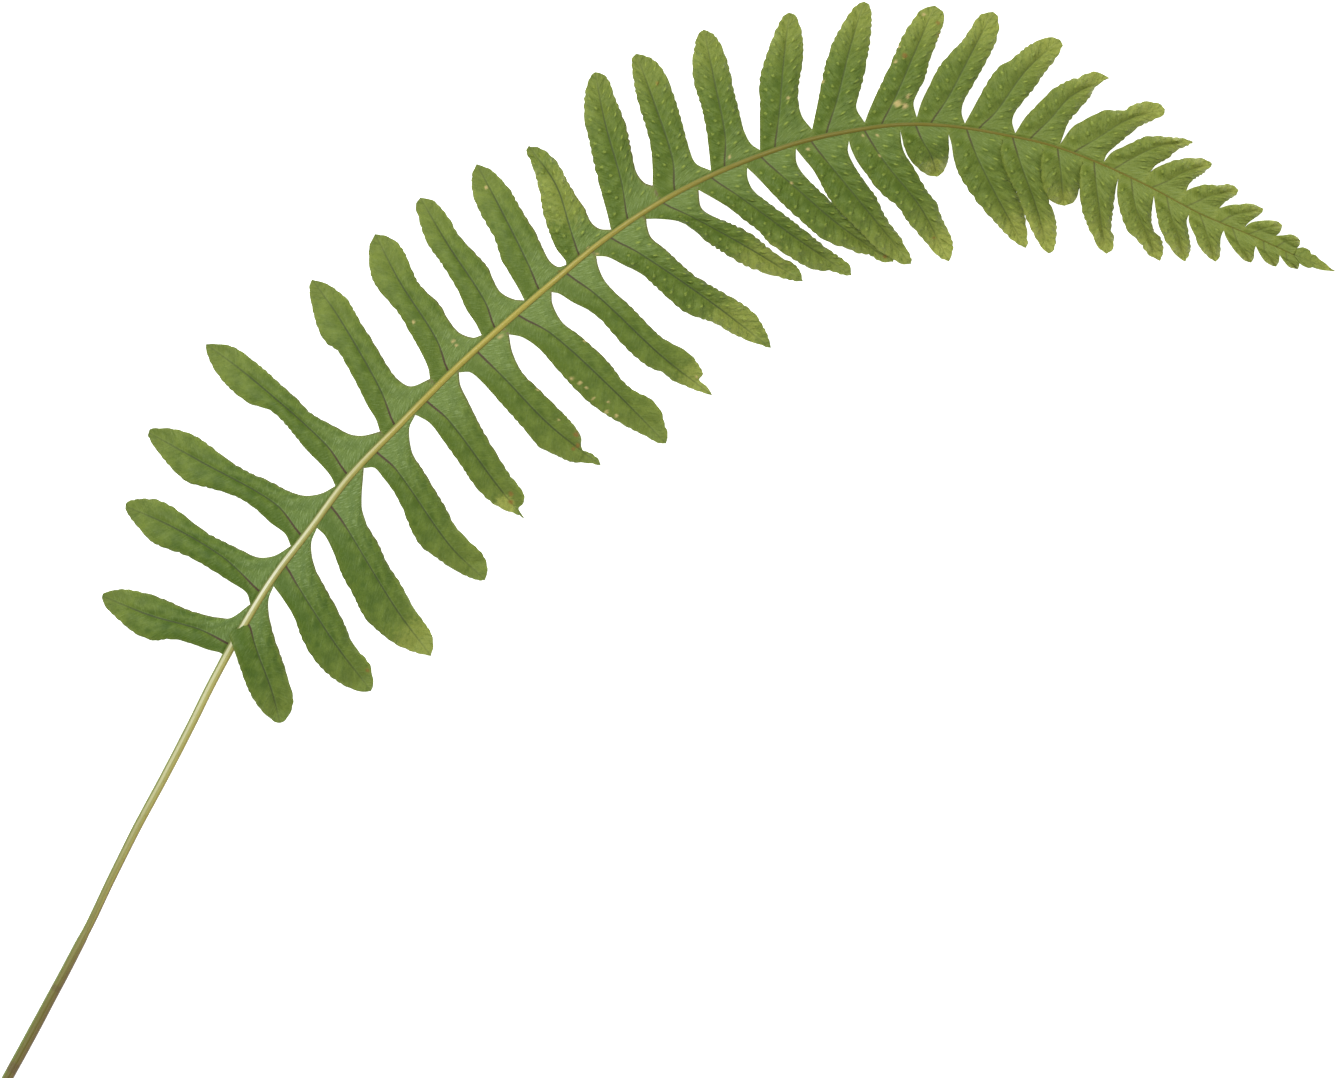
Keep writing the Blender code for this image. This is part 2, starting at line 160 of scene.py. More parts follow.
# Each lobe: place of its root along the rib, two points of its midrib, its tip, the bottom of
# the notch that follows it, and its margins towards the stalk and towards the frond's tip, each
# by its points between the notch and the lobe's tip
LEFT_START = (43.9, 85.2)
LEFT = [
    (46.3, (40, 89.8), (30, 92.6), (20.4, 96.4), (50.3, 94.8),
     [(41.7, 85.7), (39, 86.7), (36.3, 87.5), (33.7, 87.8), (31.3, 87.5), (29, 88), (26.3, 89.5),
      (23.7, 91.7), (21.3, 94), (20.4, 95.7)],
     [(46.3, 92.1), (43.7, 92.2), (40.3, 92.9), (37, 94), (33.7, 95.5), (30.3, 96.7), (27, 97.5),
      (24.3, 97.8), (21.9, 97.4), (20.7, 97)]),
    (52.0, (45, 104), (35, 110), (25.1, 114.4), (58.3, 106.4),
     [(49.4, 97.1), (46.3, 99.2), (43, 101.3), (39.7, 103.3), (36.3, 104.9), (33, 106), (30.3, 107.3),
      (28, 109.7), (26.1, 112), (25.1, 113.7)],
     [(55, 104.5), (51.7, 104.2), (48.3, 105.7), (45, 107.3), (41.7, 109), (38.3, 111.5), (35, 114),
      (31.7, 115.6), (29, 115.9), (26.3, 115.6), (25.2, 115)]),
    (60.8, (55, 115), (40, 123.4), (29.7, 129.1), (67.2, 118.4),
     [(57.2, 108.8), (54.3, 111), (51, 114), (47.7, 116.1), (44.3, 117.3), (41, 118.2), (37.7, 119.1),
      (35, 121.3), (32.3, 124.3), (30.5, 126.8), (29.6, 128.4)],
     [(64.3, 116.9), (61, 116.5), (57.7, 117.5), (54.3, 119.3), (50.3, 121), (46.3, 123.3), (42.3, 126.3),
      (39, 128.5), (35, 129.8), (31.7, 130), (30, 129.8)]),
    (70.0, (65, 127), (50, 140.2), (41.2, 146.8), (76.1, 129.3),
     [(66.3, 120.3), (64.3, 122.7), (61.7, 125.3), (56.3, 131.7), (53.7, 133.7), (50.3, 134.7), (47, 137),
      (44.3, 139.7), (42.3, 142.7), (41.2, 145.6)],
     [(73, 128.5), (70.3, 128.7), (67.7, 130), (62.3, 133), (59.7, 135.7), (56.3, 138.7), (53, 141.7),
      (49.7, 144.3), (47, 146.1), (44.3, 146.8)]),
    (79.3, (76, 138), (68, 151.8), (62.4, 159.7), (86.1, 139.8),
     [(75.3, 131.7), (73.7, 134.3), (71.7, 138.3), (69.3, 142.7), (67.7, 145.3), (65.3, 147),
      (63.7, 149.7), (62.7, 153), (62, 156.3), (61.9, 158.6)],
     [(82.3, 138.3), (79.7, 139.7), (77.7, 142.3), (74.3, 148), (72.7, 150.3), (71, 153.3), (69.3, 156),
      (67.7, 157.3), (65.7, 158.7)]),
    (90.1, (87.3, 147.8), (80, 159.2), (75, 168.8), (96.4, 148.5),
     [(85.8, 141.7), (84.7, 144.3), (81.7, 149.7), (79.7, 153), (75.7, 157.7), (74.3, 160.3),
      (73.8, 163.7), (73.9, 166.5)],
     [(94.7, 148), (92, 149), (90, 151.3), (88, 154.7), (84, 158.7), (82.3, 162), (81, 165),
      (79.3, 167.3), (77.3, 168.4)]),
    (99.4, (97, 155.3), (89.5, 166.8), (84, 176.1), (104.9, 155.4),
     [(95.3, 150.7), (93.3, 153.7), (91.7, 157.3), (88, 163.3), (86, 166), (84.7, 168.7), (83.7, 172),
      (83.1, 174.5)],
     [(102.7, 155.7), (100.3, 157), (99, 159), (97.7, 162), (95.7, 164.3), (91.7, 168.7), (90, 171.7),
      (88, 174.3), (86.3, 175.7)]),
    (108.2, (105.8, 162.4), (100, 174), (95.3, 182.8), (113.7, 162),
     [(104, 157.3), (102, 160.7), (100.3, 163.7), (99, 167.7), (97.3, 170.7), (95.7, 173.7), (94.5, 177),
      (94.4, 180.7)],
     [(111.7, 162.1), (110, 163.3), (108.7, 165.7), (107.3, 168.7), (103.7, 174.7), (102, 177.7),
      (100, 180), (98, 181.8)]),
    (116.2, (114.3, 169), (111.2, 178.5), (105.7, 186.4), (122.2, 169.5),
     [(113.2, 163.2), (111.3, 165.7), (110, 168.7), (108.7, 172.7), (108, 176.7), (107, 180.7),
      (106, 183.6), (105.2, 185.3)],
     [(120, 169.7), (118.3, 171), (117, 173.7), (113.7, 179), (112, 182.3), (110, 184.7), (108, 186)]),
    (125.8, (124.3, 179), (121, 191), (119, 201.2), (130.5, 178.3),
     [(121.5, 172.5), (120.2, 177.2), (118.8, 182.7), (117.8, 187.4), (117, 190.8), (116.8, 194.9),
      (117.3, 198.3), (118.2, 200.5)],
     [(128.9, 178.9), (127.3, 181), (126.3, 185.4), (125.3, 190.1), (124.2, 193.2), (122.9, 196.3),
      (121.9, 199.3), (120.6, 200.8)]),
    (135.1, (134.5, 183.5), (130.8, 195), (127.2, 204.9), (142.1, 181.3),
     [(130.5, 181.3), (130.2, 185.4), (129.3, 189.5), (128, 193.6), (127, 197.6), (126.4, 201.7),
      (126.4, 203.9)],
     [(139.2, 182.7), (137.9, 185.4), (136.8, 189.5), (135.5, 194.2), (134.1, 198.3), (132.4, 201.9),
      (130.2, 204)]),
    (145.0, (145, 188), (142.8, 199.5), (140.8, 209.7), (151.9, 185.4),
     [(141.8, 184.7), (141.3, 188.8), (140.2, 194.2), (138.9, 198.3), (138.4, 202.4), (138.9, 206.2),
      (139.6, 208.8)],
     [(150.1, 186.7), (148.7, 189.5), (147.7, 193.6), (146.7, 197.6), (145.7, 202.4), (144.4, 206.2),
      (142.8, 208.7)]),
    (155.0, (155.7, 192), (156.7, 203.5), (157.9, 213.1), (162.3, 189.5),
     [(151.9, 190.1), (151.9, 195.6), (151.9, 199.7), (153.2, 204.4), (154.9, 209), (156.2, 211.7),
      (157, 212.7)],
     [(160.3, 192.2), (159.6, 195.6), (159.8, 199), (160.5, 203.1), (160.6, 207.2), (159.9, 211),
      (159, 212.6)]),
    (165.2, (167.2, 195), (169.7, 205), (172.8, 215.3), (172.8, 190.9),
     [(163.4, 194.7), (164.1, 198.4), (165, 202.6), (166.4, 206.8), (168.1, 210.1), (169.9, 213),
      (171.4, 214.7)],
     [(171.2, 193.7), (171.6, 196.1), (172.5, 199.3), (173.7, 205.4), (174.2, 209.1), (174.3, 212.7),
      (173.9, 214.6)]),
    (176.2, (178.6, 195.2), (182.7, 204.6), (187, 214.5), (183.2, 191.9),
     [(173.7, 193.3), (175.1, 196.5), (176.9, 200.3), (178.6, 204), (180.4, 208.2), (182.5, 211.5),
      (184.4, 213.8)],
     [(182.6, 194.7), (183.5, 197), (184.9, 199.8), (185.8, 203.1), (187.2, 206.8), (188.4, 210.1),
      (188.8, 212.9)]),
    (186.0, (189.3, 195.6), (194, 204.5), (198.6, 213.3), (192.8, 190.7),
     [(184.2, 195.1), (185.8, 198.4), (187.7, 202.1), (190, 204.9), (192.3, 207.3), (194.2, 210.1),
      (196, 212.6)],
     [(192.2, 192.8), (192.6, 195), (194.2, 197.9), (196.1, 201.2), (197.9, 204.5), (199.2, 207.3),
      (199.8, 210.1), (199.5, 212.4)]),
    (195.5, (199, 193), (205, 201.3), (212, 207.7), (202.9, 188.8),
     [(194.7, 194.2), (197, 198.4), (199.3, 201.7), (202.6, 204), (205.4, 206.3), (208.2, 207.7),
      (210.4, 208.2)],
     [(202.3, 191), (202.8, 192.8), (204.5, 195.1), (206.8, 197.9), (208.7, 200.7), (210.9, 203.5),
      (212.5, 206.5)]),
    (205.8, (209.5, 191.2), (214.2, 196.3), (221.9, 200), (211.9, 186.7),
     [(204.9, 192), (207, 194.2), (210, 197.3), (213.5, 199.4), (215.5, 200), (218.3, 201.2),
      (220.3, 201)],
     [(212.5, 188.3), (213.6, 191), (216.3, 194.2), (218, 196.2), (218.9, 197.9), (220.5, 199.3)]),
    (214.6, (218.5, 187.3), (225.5, 191.6), (233, 193.8), (220.6, 183.1),
     [(214.3, 190), (217, 191.6), (220, 193.2), (222.5, 193.5), (224.5, 193.4), (226.5, 194.6),
      (229.5, 195.3), (231.8, 194.9)],
     [(221.3, 184.7), (224.5, 187.5), (227.5, 190), (231.2, 191.8), (232.7, 192.7)]),
    (222.6, (226.3, 183.8), (232, 186.4), (238.7, 187.2), (229.9, 181.1),
     [(222.2, 185), (225.3, 186.5), (229.1, 188.2), (233.6, 188.2), (237.4, 187.8)],
     [(231, 182.4), (233.6, 183.9), (235.2, 185.4), (237.4, 186.4)]),
    (230.2, (233.5, 179.3), (237, 181.2), (242.4, 182.9), (237.1, 177.4),
     [(230.8, 181.8), (233, 182.8), (235.4, 183.6), (238.6, 184), (240.4, 183.9), (241.8, 183.4)],
     [(237.8, 178.8), (239.2, 180), (240.4, 180.7), (241.4, 181.6), (242.2, 182.3)]),
    (237.0, (239.5, 175.3), (243, 176.6), (247.7, 177.5), (243.7, 173.9),
     [(238.8, 178.1), (241, 178.6), (243.8, 178.5), (245.4, 178.8), (247, 178.3)],
     [(244.6, 174.8), (245.8, 175.7), (247.2, 176.6)]),
    (243.6, (245.8, 172.2), (249, 173), (252.7, 173.8), (248.8, 170.1),
     [(245.8, 174.5), (248.2, 174.7), (249.4, 174.9), (251, 174.6)],
     [(249.6, 171), (251, 172), (252.2, 172.9)]),
    (249.5, (251, 169.3), (253.5, 170), (256.4, 170.5), (255.1, 168.4),
     [(250, 171), (251.4, 171.3), (253.4, 171.5), (255.4, 171.3)],
     [(255.6, 168.8), (256.1, 169.6)]),
    (254.5, (256, 167), (258, 167.3), (260, 167.4), (259.3, 165.9),
     [(256.6, 168.5), (258, 168.7), (259.3, 168.2)],
     [(259.8, 166.6)]),
]
RIGHT_START = (48.0, 86.6)
RIGHT = [
    (49.3, (51.4, 86), (54.3, 77.8), (56, 71.0), (54.9, 98.4),
     [(46.9, 86), (48.2, 82), (49.8, 77.6), (52, 73.9), (54.5, 71.5), (55.3, 71.1)],
     [(53.9, 95.9), (53.9, 93), (54.9, 88.6), (56.4, 84.2), (57.8, 79.8), (58.7, 75.4), (57.8, 72.5),
      (56.8, 71.3)]),
    (56.8, (59.5, 98.8), (67.5, 86.3), (74.2, 77.4), (63.2, 110.3),
     [(56.7, 95.9), (58.9, 92.3), (60.4, 88.2), (62.6, 84.2), (65.5, 80.9), (69.2, 78.3), (72.6, 77.2)],
     [(62.4, 106.9), (63, 102.5), (65.2, 98.1), (67.4, 94.1), (69.2, 90.4), (70.7, 86.8), (73.9, 82.9),
      (74.5, 80.4), (74.7, 78.6)]),
    (65.8, (69.5, 110), (79.5, 93.5), (86.2, 84.4), (72.9, 121.9),
     [(65.2, 108.4), (67, 104.7), (68.5, 100.7), (70.7, 96.7), (72.9, 92.3), (75.8, 89.3), (79.1, 86.8),
      (82.4, 85.3), (85, 84.6)],
     [(72.5, 114.3), (73.6, 110.6), (75.8, 106.9), (77.6, 102.9), (80.2, 98.9), (82.4, 94.8),
      (84.6, 91.5), (86.1, 89.3), (86.7, 86.8)]),
    (75.0, (79.5, 121.5), (90, 106.5), (97, 99.6), (83, 132.7),
     [(75, 122), (76.8, 120), (79, 117), (80.8, 113.4), (82.6, 109), (84.4, 106.2), (86.8, 104.4),
      (90.5, 101.8), (93.4, 100.3), (95.8, 99.5)],
     [(82, 129.8), (82.6, 125), (84.6, 121.8), (87, 117.8), (89.4, 113.8), (91, 110.6), (94, 107.3),
      (96.3, 105.1), (97.3, 103.2), (97.5, 101.2)]),
    (85.0, (90, 131.3), (99.5, 118.5), (105, 111.8), (91.9, 141),
     [(83.8, 132.3), (86.2, 130.8), (89.4, 126.5), (92.4, 122.3), (94.4, 119.2), (96.6, 116.6),
      (99, 114.6), (101.4, 113.4), (103.4, 112.7)],
     [(92.2, 138.5), (93.6, 135.6), (96.3, 130.2), (99.2, 125.2), (102.2, 120.4), (104.2, 117.9),
      (104.9, 116.3), (104.6, 114.8), (103.7, 113.9)]),
    (95.2, (101, 139.8), (110, 130.5), (120.2, 122.5), (101.9, 148.6),
     [(94.2, 141), (96.6, 139), (99.8, 135.4), (103, 131.8), (105.8, 128.6), (107.8, 126.2), (111, 124.6),
      (114.2, 123.2), (117.4, 123)],
     [(102.6, 145), (104.6, 141), (107.8, 137.8), (111, 134.6), (113.4, 132.2), (115.4, 129.8),
      (116.3, 127.8), (116.4, 125.8), (118.2, 125), (119.5, 124)]),
    (103.3, (110.5, 148.6), (123, 137.2), (133.2, 126.9), (110.4, 157),
     [(104.6, 148), (107.8, 145.8), (111, 142.2), (114.2, 138.6), (117.4, 135.4), (120.6, 133),
      (123.4, 131.3), (126.2, 129.8), (129.4, 128.2), (131.6, 127)],
     [(110.6, 154.6), (112.6, 151), (115.8, 148.6), (119, 145.8), (122.2, 142.6), (124.6, 139.4),
      (127, 137.4), (130.2, 135.8), (132.2, 133.4), (133, 130.6), (133.6, 128.6)]),
    (113.0, (119.5, 156.3), (132, 144.6), (142.5, 136.5), (119.3, 164.2),
     [(111.9, 156.7), (114.6, 155), (117.6, 153.5), (120.3, 151.4), (122.4, 149), (125.7, 145.4),
      (128.1, 143.3), (130.2, 141.9), (132.6, 141), (134.4, 139.5), (136.8, 138.5), (139.2, 137.5)],
     [(119.7, 162.2), (120.9, 159.5), (123, 157.1), (126, 154.4), (132, 148.4), (135, 146.6),
      (137.7, 145.1), (139.5, 143), (140.6, 140.8), (139.8, 139.6), (141.4, 138.4)]),
    (121.8, (128, 164.7), (142, 155.2), (154.2, 146), (129.3, 171.6),
     [(121.6, 164), (124.8, 162.4), (128.2, 160.7), (130.9, 158.3), (136.7, 153.2), (139.9, 151.9),
      (143.1, 150.8), (146.3, 148.9), (150.1, 147.3), (152.6, 146.4)],
     [(129.5, 170), (130.3, 167.9), (133, 165.7), (138.3, 160.9), (142.1, 158.5), (145.8, 156.4),
      (149, 154.5), (151.1, 152.7), (152.2, 151.1), (153.6, 148.4)]),
    (132.3, (138, 172.2), (150, 165.7), (160.6, 159.3), (139.7, 177.4),
     [(131.9, 171.6), (135.7, 171.1), (138.3, 169.7), (141, 167.3), (143.7, 165.5), (148.9, 162.4),
      (152.8, 161), (156.3, 160), (158.9, 159.4)],
     [(140.2, 174), (142, 172.5), (144.9, 171.3), (147.9, 170), (150.9, 168.3), (153.8, 165.9),
      (156.3, 164.1), (158.7, 162.9), (160, 161.4)]),
    (142.0, (147.5, 176.3), (159, 168), (170.3, 160.5), (149.4, 181.8),
     [(143, 175.5), (145.9, 173.7), (148.9, 171.3), (151.8, 169.1), (153.8, 166.8), (158.7, 163.6),
      (161.2, 162.2), (163.7, 161.4), (166.1, 161.4), (168.6, 160.6)],
     [(149.5, 179.7), (150.6, 177.4), (153.3, 175.2), (159.2, 170.8), (165.2, 166.1), (168.1, 164.1),
      (169.7, 162.9), (170.2, 161.4)]),
    (152.0, (157.5, 179.2), (168, 170.3), (178.6, 163.2), (159.1, 185.6),
     [(150.9, 180.4), (155.8, 175.2), (161.2, 170.3), (164.2, 167.8), (166.6, 166.6), (169.1, 165.9),
      (171.6, 164.9), (174, 164.5), (176, 163.3)],
     [(159.2, 183.1), (160, 181.4), (161.7, 179.4), (166.8, 174.6), (171.9, 170.1), (177.2, 165.9),
      (178.8, 164.4)]),
    (162.0, (167, 181), (174.5, 172), (182.2, 162.8), (169.7, 187.2),
     [(160.7, 183.6), (162.7, 181.1), (166.2, 175), (172.3, 168.8), (175.2, 165.9), (178.6, 163.7),
      (180.6, 162.7)],
     [(169.5, 185.1), (170.6, 182.6), (173, 178.9), (175.1, 176.2), (176.5, 173.2), (178.3, 170.4),
      (180.2, 168), (181.3, 165.9), (182.3, 163.9)]),
    (172.7, (177, 182.7), (184, 174), (189.8, 163.3), (179.9, 189.3),
     [(170.1, 185.6), (171.4, 182.9), (173.3, 180.3), (175.7, 177.1), (179.7, 173.8), (181, 171.7),
      (184.5, 167.7), (187.9, 164.1)],
     [(180, 188.5), (180.2, 186.7), (180.9, 184.6), (182.5, 182.2), (183.9, 179.7), (185.5, 177.1),
      (187.4, 174.7), (188.2, 172.3), (190.3, 168), (190.6, 165.6)]),
    (183.0, (184.2, 187.5), (186.2, 184.1), (187.4, 180.2), (189.6, 188.5),
     [(180.2, 188), (180.8, 185.6), (182.2, 183.2), (183.7, 181.6), (185.5, 180.5)],
     [(189.6, 187.7), (189.7, 185.6), (189.5, 183.3), (188.9, 181.7), (188.2, 180.7)]),
    (193.2, (195.5, 183.5), (200, 174.8), (205.2, 166), (200.3, 187.6),
     [(190.1, 186.7), (190.6, 183.5), (191.7, 180.3), (195.4, 174.9), (199.2, 170.7), (202, 167.9),
      (204.3, 166.3)],
     [(200.5, 185), (201.1, 182.4), (202, 179.6), (203.6, 176.4), (204.8, 173.2), (205.2, 170.5),
      (205.5, 168.5), (205.5, 166.8)]),
    (202.4, (204.2, 182), (207, 174.5), (209.8, 164.9), (208.4, 185.8),
     [(200, 185), (200.5, 182.4), (201.7, 179.6), (203.4, 176.3), (205, 172.1), (207.1, 167.9),
      (208.5, 165.9), (209.3, 165.1)],
     [(208.7, 182.9), (208.8, 179.1), (209.3, 176.4), (210.6, 173.1), (211.2, 171.2), (211.3, 168.9),
      (211, 166.4), (210.5, 165.3)]),
    (211.4, (211.8, 182.5), (212.3, 178.3), (212.9, 174.4), (216.3, 183.2),
     [(208, 182.9), (208.2, 179.3), (209, 176.6), (210.6, 175)],
     [(216.3, 181), (216, 178.7), (215.5, 176.7), (214.8, 175.2)]),
    (218.7, (219.2, 177.5), (220.2, 170.7), (221.3, 164.8), (223.5, 179.8),
     [(215.8, 181), (215.7, 178.7), (215.8, 176.3), (216.2, 173.5), (217.2, 170.7), (218.3, 168.4),
      (219.9, 165.8)],
     [(223.1, 178.2), (222.8, 176), (222.4, 172.5), (222.2, 169.8), (222.8, 167.9), (222.4, 165.6)]),
    (226.1, (227, 174), (229.5, 168.3), (232.0, 163.4), (230.6, 176.3),
     [(223.2, 176.7), (223.8, 173.2), (225.3, 169.4), (227.6, 167.2), (229.8, 164.5)],
     [(230.2, 173), (230.2, 171.4), (230.6, 169.4), (231.8, 168.4), (232.5, 167), (232.6, 165)]),
    (233.2, (234, 172.5), (235.5, 168.5), (237, 163.3), (237.6, 172.6),
     [(231, 173), (231.6, 170.4), (232.6, 167.8), (233.8, 166.2), (235.2, 164.4), (236.4, 163.6)],
     [(237.2, 171.4), (237.5, 169.4), (237.9, 167.4), (238.1, 165.8), (237.6, 164.2)]),
    (239.8, (240.8, 170), (241.8, 167), (243, 163.2), (244.6, 169.4),
     [(237.6, 171), (238.8, 168.2), (239.6, 166.2), (241, 164.6), (242, 163.8)],
     [(244.2, 168.6), (243.9, 167), (244, 165.8), (243.8, 164)]),
    (245.6, (246.9, 168), (248.2, 165.8), (250.1, 163), (251, 166.3),
     [(245, 168), (246.2, 166), (247.4, 164.6), (248.8, 163.4)],
     [(250.7, 165.3), (250.6, 163.8)]),
    (251.2, (252.3, 166.2), (253.5, 164.5), (255.1, 162.2), (255.8, 164.5),
     [(251.8, 164.6), (252.8, 163.2), (254.2, 162.4)],
     [(255.7, 163.8), (255.6, 163)]),
    (255.9, (256.8, 164.5), (257.7, 163.3), (259.5, 161.7), (259.7, 162.9),
     [(256.6, 163.2), (257.6, 162.1), (258.8, 161.8)],
     [(259.7, 162.3)]),
]

# The first right lobe's root lies over the stalk: its free edge, from the outer corner inwards
FLAP = [(46.0, 88.7, 4.75), (46.6, 89.6, 4.8), (47.9, 89.9, 4.7), (49.0, 90.1, 4.1)]
FLAP_LIFT = 1.35

# Margins of the pointed end, from its last notches to the tip
END_LEFT = [(259.3, 165.9), (260.6, 166.1), (262.0, 165.4), (262.1, 164.8), (263.0, 164.6),
            (263.9, 163.7), (265.0, 163.0), (266.2, 161.9), (267.2, 161.4)]
END_RIGHT = [(259.7, 162.9), (260.8, 162.2), (261.9, 161.9), (262.3, 162.1), (263.2, 161.8),
             (264.6, 161.5), (265.8, 161.4), (266.6, 161.3), (267.2, 161.4)]
END_INDEX = len(LEFT)
END_ROWS = 24
END_LENGTH = 8.0
TIP_X = 267.2

# Colour masks of the blade, painted sheen and painted shade among them, and how many lobes have a brown
# edge
MASKS = ("cream", "rust", "warm", "painted_sheen", "painted_shade", "midrib", "stub", "edge", "dot", "ribbed", "under")
BROWN_COUNT = 10

# Marks: place and radius
CREAM_MARKS = [
    (90.8, 147.2, 0.35), (91.3, 146.3, 0.28), (82.8, 151.1, 0.28), (97.3, 178, 0.35),
    (100.2, 148.2, 0.42), (117.5, 165.7, 0.32), (119.4, 164.5, 0.28), (121, 163.9, 0.35),
    (145.8, 184, 0.35), (157.6, 195.7, 0.32), (158.2, 178.8, 0.28), (161.5, 185.5, 0.35),
    (164.5, 199, 0.32), (172.5, 188.3, 0.28), (175.3, 188.3, 0.28), (175.8, 184.2, 0.28),
    (175.5, 197.8, 0.35), (114.5, 139.8, 0.35), (116, 139, 0.35),
    (117.3, 138, 0.32), (118.7, 135.8, 0.28), (121.7, 135.2, 0.28), (121.3, 133.2, 0.35),
    (123.3, 132.5, 0.35), (139.3, 140.2, 0.28), (179, 203, 0.35), (179.7, 206, 0.32),
    (184.8, 212.7, 0.35), (179.4, 194.6, 0.7), (180.8, 194.2, 0.6), (181.4, 196, 0.4),
    (117, 147.3, 0.24), (106, 139.5, 0.21), (107.6, 137.6, 0.24), (111.8, 131.6, 0.21),
]
RUST_MARKS = [
    (112.2, 161, 0.55), (116, 164, 0.5), (115.3, 128.8, 0.55), (115.6, 126.5, 0.5),
    (114.7, 125.8, 0.4), (131.4, 198.8, 0.35), (180.8, 204.3, 0.6), (187.6, 211, 0.45),
    (187.8, 208.5, 0.4), (177, 164.3, 0.4), (186.7, 168, 0.35), (102.2, 116.8, 0.5),
    (102.2, 115.2, 0.5), (73.5, 81.5, 0.4),
]
YELLOW_MARKS = [(187.2, 181.4, 2.2), (212.8, 175.4, 1.8), (101, 114.5, 2.0)]
LIGHT_MARKS = [(147, 150, 6.0), (112, 176, 6.5), (84, 87, 5.0), (152, 162, 6.0), (204, 169, 4.0),
               (189, 166, 4.0), (209.5, 168, 3.5), (140, 139.5, 4.0)]


def blend(a, b, x):
    """Smooth step of x from 0 at a to 1 at b, where b may also be the smaller one."""
    f = min(max((x - a) / (b - a), 0.0), 1.0)
    return f * f * (3 - 2 * f)


def hermite(p, q, m, n, f):
    """Cubic from p to q with end slopes m and n."""
    f2, f3 = f * f, f * f * f
    return p * (2 * f3 - 3 * f2 + 1) + m * (f3 - 2 * f2 + f) + q * (3 * f2 - 2 * f3) + n * (f3 - f2)


def follow(rows, at):
    """Smooth value at a place, through rows of (place, value)."""
    i = 0
    while i < len(rows) - 2 and at > rows[i + 1][0]:
        i += 1

    def slope(k):
        a, b = rows[max(k - 1, 0)], rows[min(k + 1, len(rows) - 1)]
        return (b[1] - a[1]) / (b[0] - a[0])

    gap = rows[i + 1][0] - rows[i][0]
    f = (at - rows[i][0]) / gap
    return hermite(rows[i][1], rows[i + 1][1], slope(i) * gap, slope(i + 1) * gap, f)


def through(points):
    """Rows for follow() that run smoothly through points, by length from 0 to 1."""
    length = [0.0]
    for a, b in zip(points, points[1:]):
        length.append(length[-1] + (b - a).length)
    return [(part / length[-1], point) for part, point in zip(length, points)]


def rib_frame(x):
    """Centre, direction and left-hand normal of the rib at x."""
    centre = Vector((x, follow(RIB, x)))
    rise = follow(RIB, x + SLOPE_STEP) - follow(RIB, x - SLOPE_STEP)
    along = Vector((1.0, rise / (2 * SLOPE_STEP))).normalized()
    return centre, along, Vector((-along.y, along.x))


def rib_foot(point):
    """Place along the rib nearest to a plan point."""
    count = round(2 * FOOT_REACH / FOOT_STEP)
    places = [point.x - FOOT_REACH + FOOT_STEP * k for k in range(count)]
    return min(places, key=lambda x: (rib_frame(x)[0] - point).length)


def blade_height(x):
    """Height of the blade's underside where it meets the stalk."""
    return follow(STALK_HEIGHT, x) + SEAT


def flank(x, side, out):
    """Point of the blade beside the stalk."""
    centre, _, normal = rib_frame(x)
    point = centre + normal * side * (follow(STALK_RADIUS, x) + out)
    return Vector((point.x, point.y, blade_height(x)))


def tucked(x, side):
    """Point of the blade's inner edge, inside the stalk."""
    centre, _, normal = rib_frame(x)
    point = centre + normal * side * follow(STALK_RADIUS, x) * TUCK_PART
    return Vector((point.x, point.y, blade_height(x) - TUCK_DROP))


def notch(point, side):
    """Foot on the rib and bottom point of a notch between two lobes."""
    point = Vector(point)
    x = rib_foot(point)
    reach = (rib_frame(x)[0] - point).length - follow(STALK_RADIUS, x)
    return x, flank(x, side, max(reach, LEAST_WING))


def scallops(place, key):
    """Fine uneven teeth of a margin, in millimetres, by millimetres along it."""
    drift = 1.4 * noise.noise((place * 0.23, key, 1.7))
    tooth = abs(math.sin(math.pi * (place / TOOTH_PITCH + drift)))
    size = 0.5 + 0.5 * noise.noise((place * 0.35, key, 9.1))
    return (tooth - TOOTH_LEVEL) * (0.1 + 0.3 * size * size)


